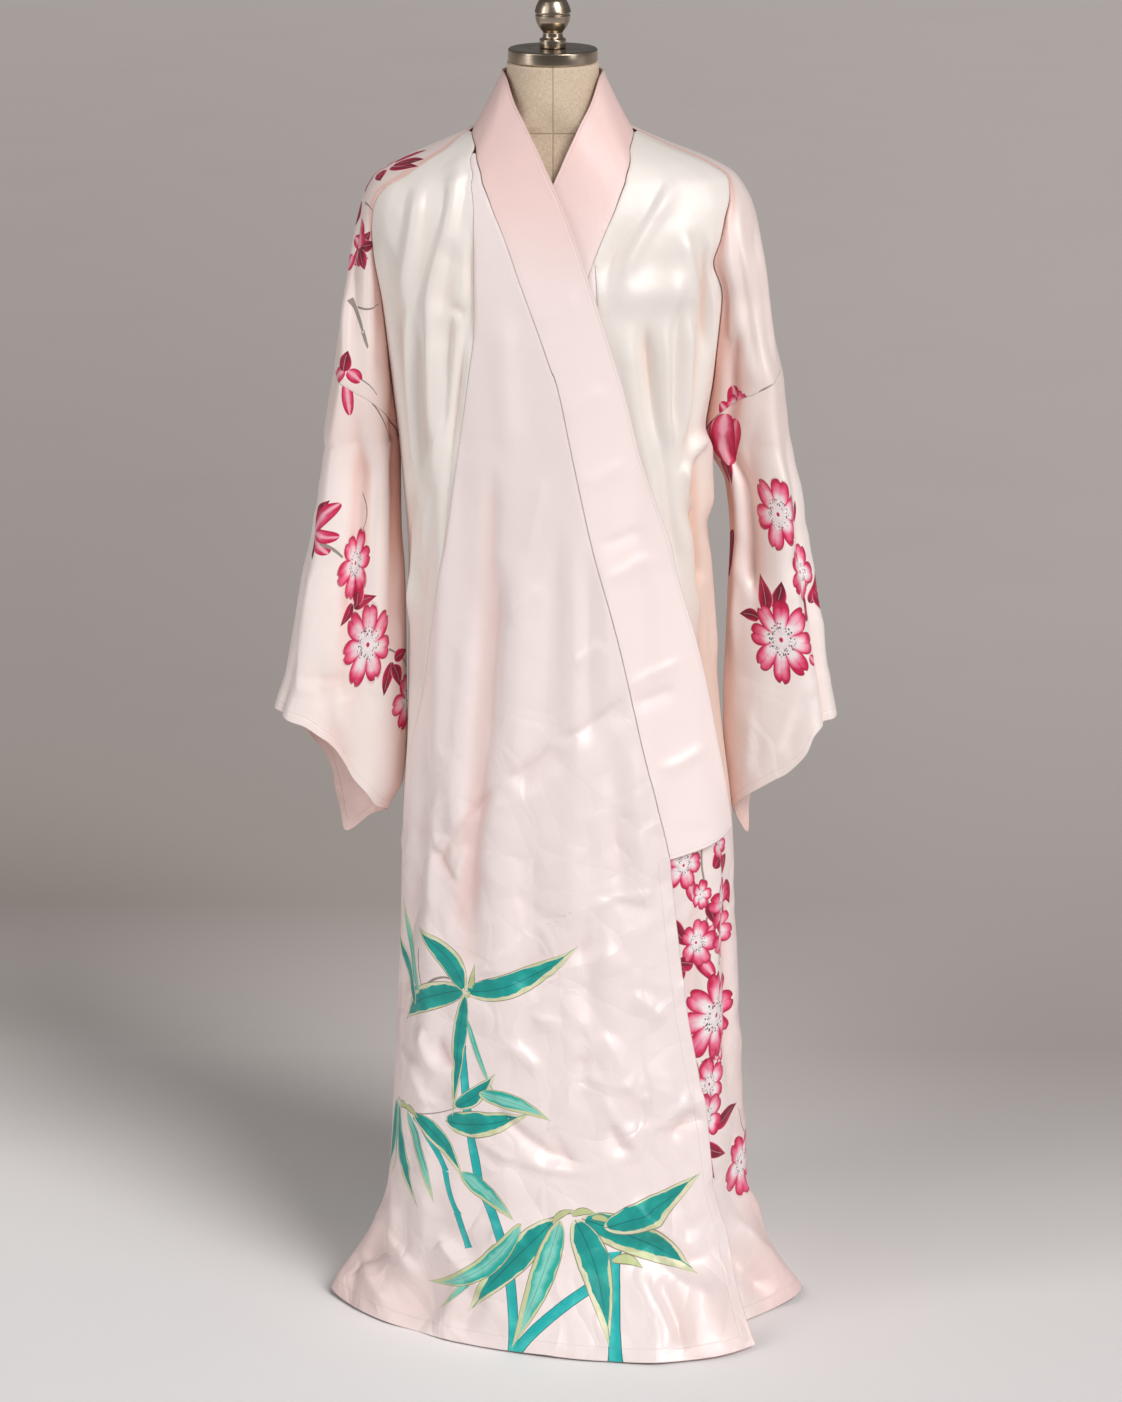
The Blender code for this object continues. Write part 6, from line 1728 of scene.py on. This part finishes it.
def make_form():
    """The linen form: its shoulders lie just under the robe, and the rest is slimmer."""
    turns = -90.0 + 360.0 * np.arange(FORM_SIDES) / FORM_SIDES
    forward = np.clip(np.cos(np.radians(turns)), 0, 1)

    def slim_ring(z):
        side, front, back, middle, corner = form_at(z)
        depth = np.where(forward > 0, front + middle, back - middle)
        x = side * power(np.sin(np.radians(turns)), 2 / corner)
        y = middle - depth * power(np.cos(np.radians(turns)), 2 / corner)
        return np.stack([x, y, np.full_like(x, z)], axis=-1)

    def shoulder_ring(z):
        level = np.full_like(turns, z)
        inset = CLOTH_WALL / 2 + SHOULDER_SEAT + FRONT_CLEARANCE * forward**2
        inset = inset + NECK_DROP * ease((z - NECK_DROP_Z) / NECK_DROP_RUN)
        return body_ring(turns, level) - ring_outward(turns, level) * inset[:, None]

    foot = np.hypot(*shoulder_ring(NECK_Z)[:, :2].T)

    def neck_ring(z):
        """The front of the neck's foot runs straight on from the chest, with no ledge."""
        rise = ease((z - NECK_Z) / NECK_FOOT_RUN)
        radius = np.minimum(form_neck_at(z), foot * (1 - rise) + form_neck_at(NECK_Z + NECK_FOOT_RUN) * rise)
        x, y = radius * np.sin(np.radians(turns)), -radius * np.cos(np.radians(turns))
        return np.stack([x, y, np.full_like(x, z)], axis=-1)

    low, high = FORM[0][0], FORM[-1][0]
    last_slim, first_shoulder = slim_ring(high), shoulder_ring(SHOULDER_FOOT_Z)
    rings = [slim_ring(low) * [FOOT_SHARE, FOOT_SHARE, 1.0]]
    rings += [slim_ring(z) for z in np.linspace(low + FOOT_BEVEL, high, SLIM_ROWS)]
    rings += [last_slim * (1 - t) + first_shoulder * t for t in np.linspace(0.0, 1.0, BLEND_ROWS + 2)[1:-1]]
    rings += [shoulder_ring(z) for z in np.linspace(SHOULDER_FOOT_Z, NECK_Z, SHOULDER_ROWS)]
    rings += [neck_ring(z) for z in np.linspace(FORM_NECK[0][0], NECK_TOP_Z, NECK_ROWS)]
    return lathe_object("linen_form", rings, LINEN)


def lathe_object(name, rings, material):
    """A closed mesh from a stack of rings, with a ring of inset faces on each end."""
    low, high = (ring.mean(axis=0) * (1 - END_HOLE) + ring * END_HOLE for ring in (rings[0], rings[-1]))
    rings = np.array([low, *rings, high])
    count, sides = rings.shape[:2]
    i, j = np.meshgrid(np.arange(count - 1), np.arange(sides), indexing="ij")
    after = (j + 1) % sides
    quads = np.stack([i * sides + j, i * sides + after, (i + 1) * sides + after, (i + 1) * sides + j], -1)
    vertices = rings.reshape(-1, 3)
    piece = mesh_object(name, vertices, quads.reshape(-1, 4))
    close_ends(piece, sides)
    piece.data.materials.append(material)
    return piece


def close_ends(piece, sides):
    """Closes the small holes left at the first and last ring of a stack."""
    mesh = bmesh.new()
    mesh.from_mesh(piece.data)
    mesh.verts.ensure_lookup_table()
    verts = list(mesh.verts)
    mesh.faces.new(verts[:sides][::-1])
    mesh.faces.new(verts[-sides:])
    mesh.to_mesh(piece.data)
    mesh.free()


def turned(profile, sides=METAL_SIDES):
    """Rings of a turned shape from (radius, z) rows."""
    angle = 2 * np.pi * np.arange(sides) / sides
    return [np.stack([r * np.cos(angle), r * np.sin(angle), np.full(sides, z)], axis=-1) for r, z in profile]


def rounded(profile, radius=0.0007):
    """The profile with its corners rounded."""
    points = [np.array(profile[0])]
    for before, here, after in zip(profile, profile[1:], profile[2:]):
        before, here, after = (np.array(p) for p in (before, here, after))
        one, two = here - before, after - here
        size_1, size_2 = np.linalg.norm(one), np.linalg.norm(two)
        reach = min(radius, 0.45 * size_1, 0.45 * size_2)
        start, end = here - one / size_1 * reach, here + two / size_2 * reach
        for t in (0.0, 0.25, 0.5, 0.75, 1.0):
            points.append((1 - t) ** 2 * start + 2 * t * (1 - t) * here + t * t * end)
    points.append(np.array(profile[-1]))
    return points


def make_cap():
    """The nickel disc on the neck, with softened edges and a fine turned groove on top."""
    low = NECK_TOP_Z + SEAM_GAP
    high = low + CAP_HEIGHT
    inner = CAP_RADIUS - CAP_BEVEL
    profile = (
        (0.030, low), (inner, low), (CAP_RADIUS, low + CAP_BEVEL), (CAP_RADIUS, high - CAP_BEVEL),
        (inner, high), (0.0300, high), (0.0296, high - 0.0003), (0.0290, high - 0.0003), (0.0286, high),
        (0.010, high),
    )
    return lathe_object("cap_disc", turned(rounded(profile)), NICKEL)


def make_finial():
    """The turned finial: a stem with a collar under a ball that a fine groove parts in two."""
    high = NECK_TOP_Z + SEAM_GAP + CAP_HEIGHT
    profile = [(0.008, high + FINIAL[0][1])] + [(radius, high + height) for radius, height in FINIAL]
    profile.append((0.0020, high + FINIAL[-1][1] + 0.0002))
    return lathe_object("cap_finial", turned(rounded(profile, radius=0.0016)), NICKEL)


# ---------------------------------------------------------------- the pieces
IVORY_SILK = silk("ivory_satin", IVORY, IVORY_WARM, line=0.04, satin=0.10)
# Its stronger seam line is partly painted shadow of the fold along the print seam.
PRINTED_SILK = silk("bamboo_satin", PINK, PINK_WARM, line=0.30, strokes=True)
BLOSSOM_SILK = silk("blossom_satin", PINK, PINK_WARM, strokes=True, blossoms=True)
SLEEVE_SILK = silk("sleeve_satin", PEACH, PEACH_WARM, stitch_at=0.011, strokes=True, blossoms=True)
BACK_SILK = silk("back_satin", PEACH, PEACH_WARM, strokes=True, blossoms=True)
BAND_SILK = silk(
    "band_satin", ROSE_BAND, ROSE_BAND_WARM, stitch_at=0.004, line=0.25, satin=0.06, facets=False
)
LINING_SILK = silk("lining_satin", LINING, LINING_WARM, shine=0.45)
LINEN = linen("linen_weave")
NICKEL = metal("brushed_nickel", paint(188, 172, 154), paint(166, 151, 134), 0.22, 0.00001)
STAND_STEEL = metal("satin_steel", paint(112, 109, 106), paint(92, 90, 88), 0.36, 0.00002)

form = make_form()
cap = make_cap()
finial = make_finial()
back = make_back()
side_right, side_left = make_side_front("right"), make_side_front("left")
overlap_right, overlap_left = make_overlap_right(), make_overlap_left()
collar = make_collar()
sleeve_right, sleeve_left = make_sleeve("right"), make_sleeve("left")

PIECES = (
    # piece, CAD node, finish slot, flat size, flat area, what it hangs from
    (back, "back_panel", "silk_peach", (1.20, 1.45), 1.02, ["linen_form"]),
    (side_right, "side_front_right", "silk_ivory", (0.22, 0.97), 0.115, ["linen_form", "silk_back"]),
    (side_left, "side_front_left", "silk_ivory", (0.24, 0.88), 0.135, ["linen_form", "silk_back"]),
    (overlap_right, "overlap_right", "silk_pink", (0.50, 1.42), 0.47, ["silk_side_front_right"]),
    (overlap_left, "overlap_left", "silk_pink", (0.45, 1.30), 0.41, ["silk_side_front_left"]),
    (collar, "collar_band", "silk_band", (0.11, 2.10), 0.21, ["silk_back", "silk_overlap_right"]),
    (sleeve_right, "sleeve_right", "silk_peach", (0.52, 0.44), 0.175, ["silk_back"]),
    (sleeve_left, "sleeve_left", "silk_peach", (0.52, 0.44), 0.165, ["silk_back"]),
)
for piece, node, slot, flat, area, above in PIECES:
    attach(piece, "root")
    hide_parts(node)
HARD_PIECES = (
    (form, "torso_form", "linen"),
    (cap, "neck_cap", "nickel"),
    (finial, "finial", "nickel"),
)
for piece, node, slot in HARD_PIECES:
    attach(piece, "root")
    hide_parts(node)
for node in ("pole", "base_plate"):
    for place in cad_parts[node].material_slots:
        place.material = STAND_STEEL


# ---------------------------------------------------------------- stage, lights and camera
FLOOR_X = (-16.0, -6.0, -3.0, -1.5, 0.0, 1.5, 3.0, 6.0, 16.0)
FLOOR_Y = (-5.0, -2.0, -1.0, -0.5, 0.0, 0.5, 1.0, 2.0, 4.0, 8.0, 16.0, 34.0)
# Painted light and shade on the floor, by distance back, on the left and on the right.
FLOOR_LIGHT_AND_SHADE = (
    # y in metres, colour on the left, colour on the right
    (-0.50, (250, 246, 246), (246, 242, 242)), (-0.08, (250, 246, 245), (246, 241, 240)),
    (0.23, (252, 247, 245), (230, 223, 221)), (0.58, (248, 240, 237), (203, 195, 192)),
    (0.78, (248, 240, 236), (190, 181, 177)), (1.43, (182, 171, 165), (196, 187, 183)),
    (3.30, (192, 183, 178), (212, 203, 199)), (6.40, (203, 194, 190), (218, 209, 205)),
    (13.0, (212, 203, 199), (220, 211, 207)), (30.0, (219, 210, 206), (223, 214, 210)),
)


def make_floor():
    """One pale floor that fills the view, and whose tone changes slowly from front to back, with painted light
    and shade: the far grey stands in for the backdrop and is darker to the left, and near the robe the left
    side is painted lighter against the robe's own shadow while the right is darker.
    """
    x, y = np.meshgrid(FLOOR_X, FLOOR_Y)
    vertices = np.stack([x, y, 0 * x], axis=-1).reshape(-1, 3)
    i, j = np.meshgrid(np.arange(len(FLOOR_Y) - 1), np.arange(len(FLOOR_X) - 1), indexing="ij")
    start, above = i * len(FLOOR_X) + j, (i + 1) * len(FLOOR_X) + j
    faces = np.stack([start, start + 1, above + 1, above], axis=-1).reshape(-1, 4)
    floor = mesh_object("floor", vertices, faces)
    material, nodes, shader = new_material("studio_floor")
    place = nodes.place("Object")
    x, y, _ = nodes.split(place)
    depth = nodes.math("LOGARITHM", nodes.math("MAXIMUM", y + 1.0, 0.05), 2.0)
    ramps = []
    for side in (1, 2):
        ramp = nodes.add("ShaderNodeValToRGB", {0: (depth + 1.0) / 6.0})
        elements = ramp.color_ramp.elements
        while len(elements) < len(FLOOR_LIGHT_AND_SHADE):
            elements.new(0.5)
        for element, tones in zip(elements, FLOOR_LIGHT_AND_SHADE):
            element.position = (math.log2(max(tones[0] + 1.0, 0.05)) + 1.0) / 6.0
            element.color = paint(*tones[side])
        ramps.append(nodes.out(ramp, 0))
    across = nodes.step(x / nodes.math("MAXIMUM", y + 5.0, 0.5), -0.13, 0.13)
    tone = nodes.mix(across, *ramps)
    mottle = 0.96 + 0.08 * nodes.noise(place, 1.7, 3.0)
    colour = nodes.mix(nodes.math("SUBTRACT", 1.0, mottle), tone, (0.0, 0.0, 0.0, 1.0))
    nodes.feed(shader, {"Base Color": colour, "Roughness": 0.9, "Specular IOR Level": 0.1})
    floor.data.materials.append(material)


SUNS = (
    # name, direction, strength, degrees across
    ("key", (-0.50, 0.66, -0.66), 1.90, 24.0),
    ("fill", (0.90, 0.70, -0.55), 0.44, 40.0),
)
SOFTBOXES = (
    # name, place, width, height, watts
    ("left_softbox", (-2.6, -1.2, 1.9), 0.7, 2.6, 13.0),
    ("right_softbox", (2.4, -1.8, 2.2), 0.8, 2.2, 15.0),
)
SUN_PLACE, SOFTBOX_TARGET = (0.0, 0.0, 4.0), (0.0, 0.0, 1.0)
SKY_COLOUR, SKY_STRENGTH = (1.0, 0.985, 0.975, 1.0), 0.15
CAMERA_PLACE, CAMERA_DIP = (0.0095, -5.0, 2.19), 16.15
CAMERA_LENS, CAMERA_SENSOR, CAMERA_FAR = 110.52, 36.0, 200.0


def add_light(name, kind, place, direction):
    """A light at a place, turned one way. Returns its settings."""
    light = bpy.data.lights.new(name, kind)
    lamp = bpy.data.objects.new(name, light)
    bpy.context.scene.collection.objects.link(lamp)
    lamp.location = place
    lamp.rotation_euler = Vector(direction).to_track_quat("-Z", "Y").to_euler()
    return light


make_floor()
world = bpy.data.worlds.new("studio")
bpy.context.scene.world = world
world.use_nodes = True
world.node_tree.nodes["Background"].inputs["Color"].default_value = SKY_COLOUR
world.node_tree.nodes["Background"].inputs["Strength"].default_value = SKY_STRENGTH
for name, direction, strength, angle in SUNS:
    light = add_light(name, "SUN", SUN_PLACE, direction)
    light.energy, light.angle = strength, math.radians(angle)
for name, place, width, height, watts in SOFTBOXES:
    light = add_light(name, "AREA", place, Vector(SOFTBOX_TARGET) - Vector(place))
    light.shape, light.size, light.size_y, light.energy = "RECTANGLE", width, height, watts
bpy.context.scene.view_settings.view_transform = "Standard"

camera = bpy.data.cameras.new("camera")
camera.lens, camera.sensor_width, camera.clip_end = CAMERA_LENS, CAMERA_SENSOR, CAMERA_FAR
view = bpy.data.objects.new("camera", camera)
bpy.context.scene.collection.objects.link(view)
view.location = CAMERA_PLACE
view.rotation_euler = (math.radians(90.0 - CAMERA_DIP), 0.0, 0.0)
bpy.context.scene.camera = view
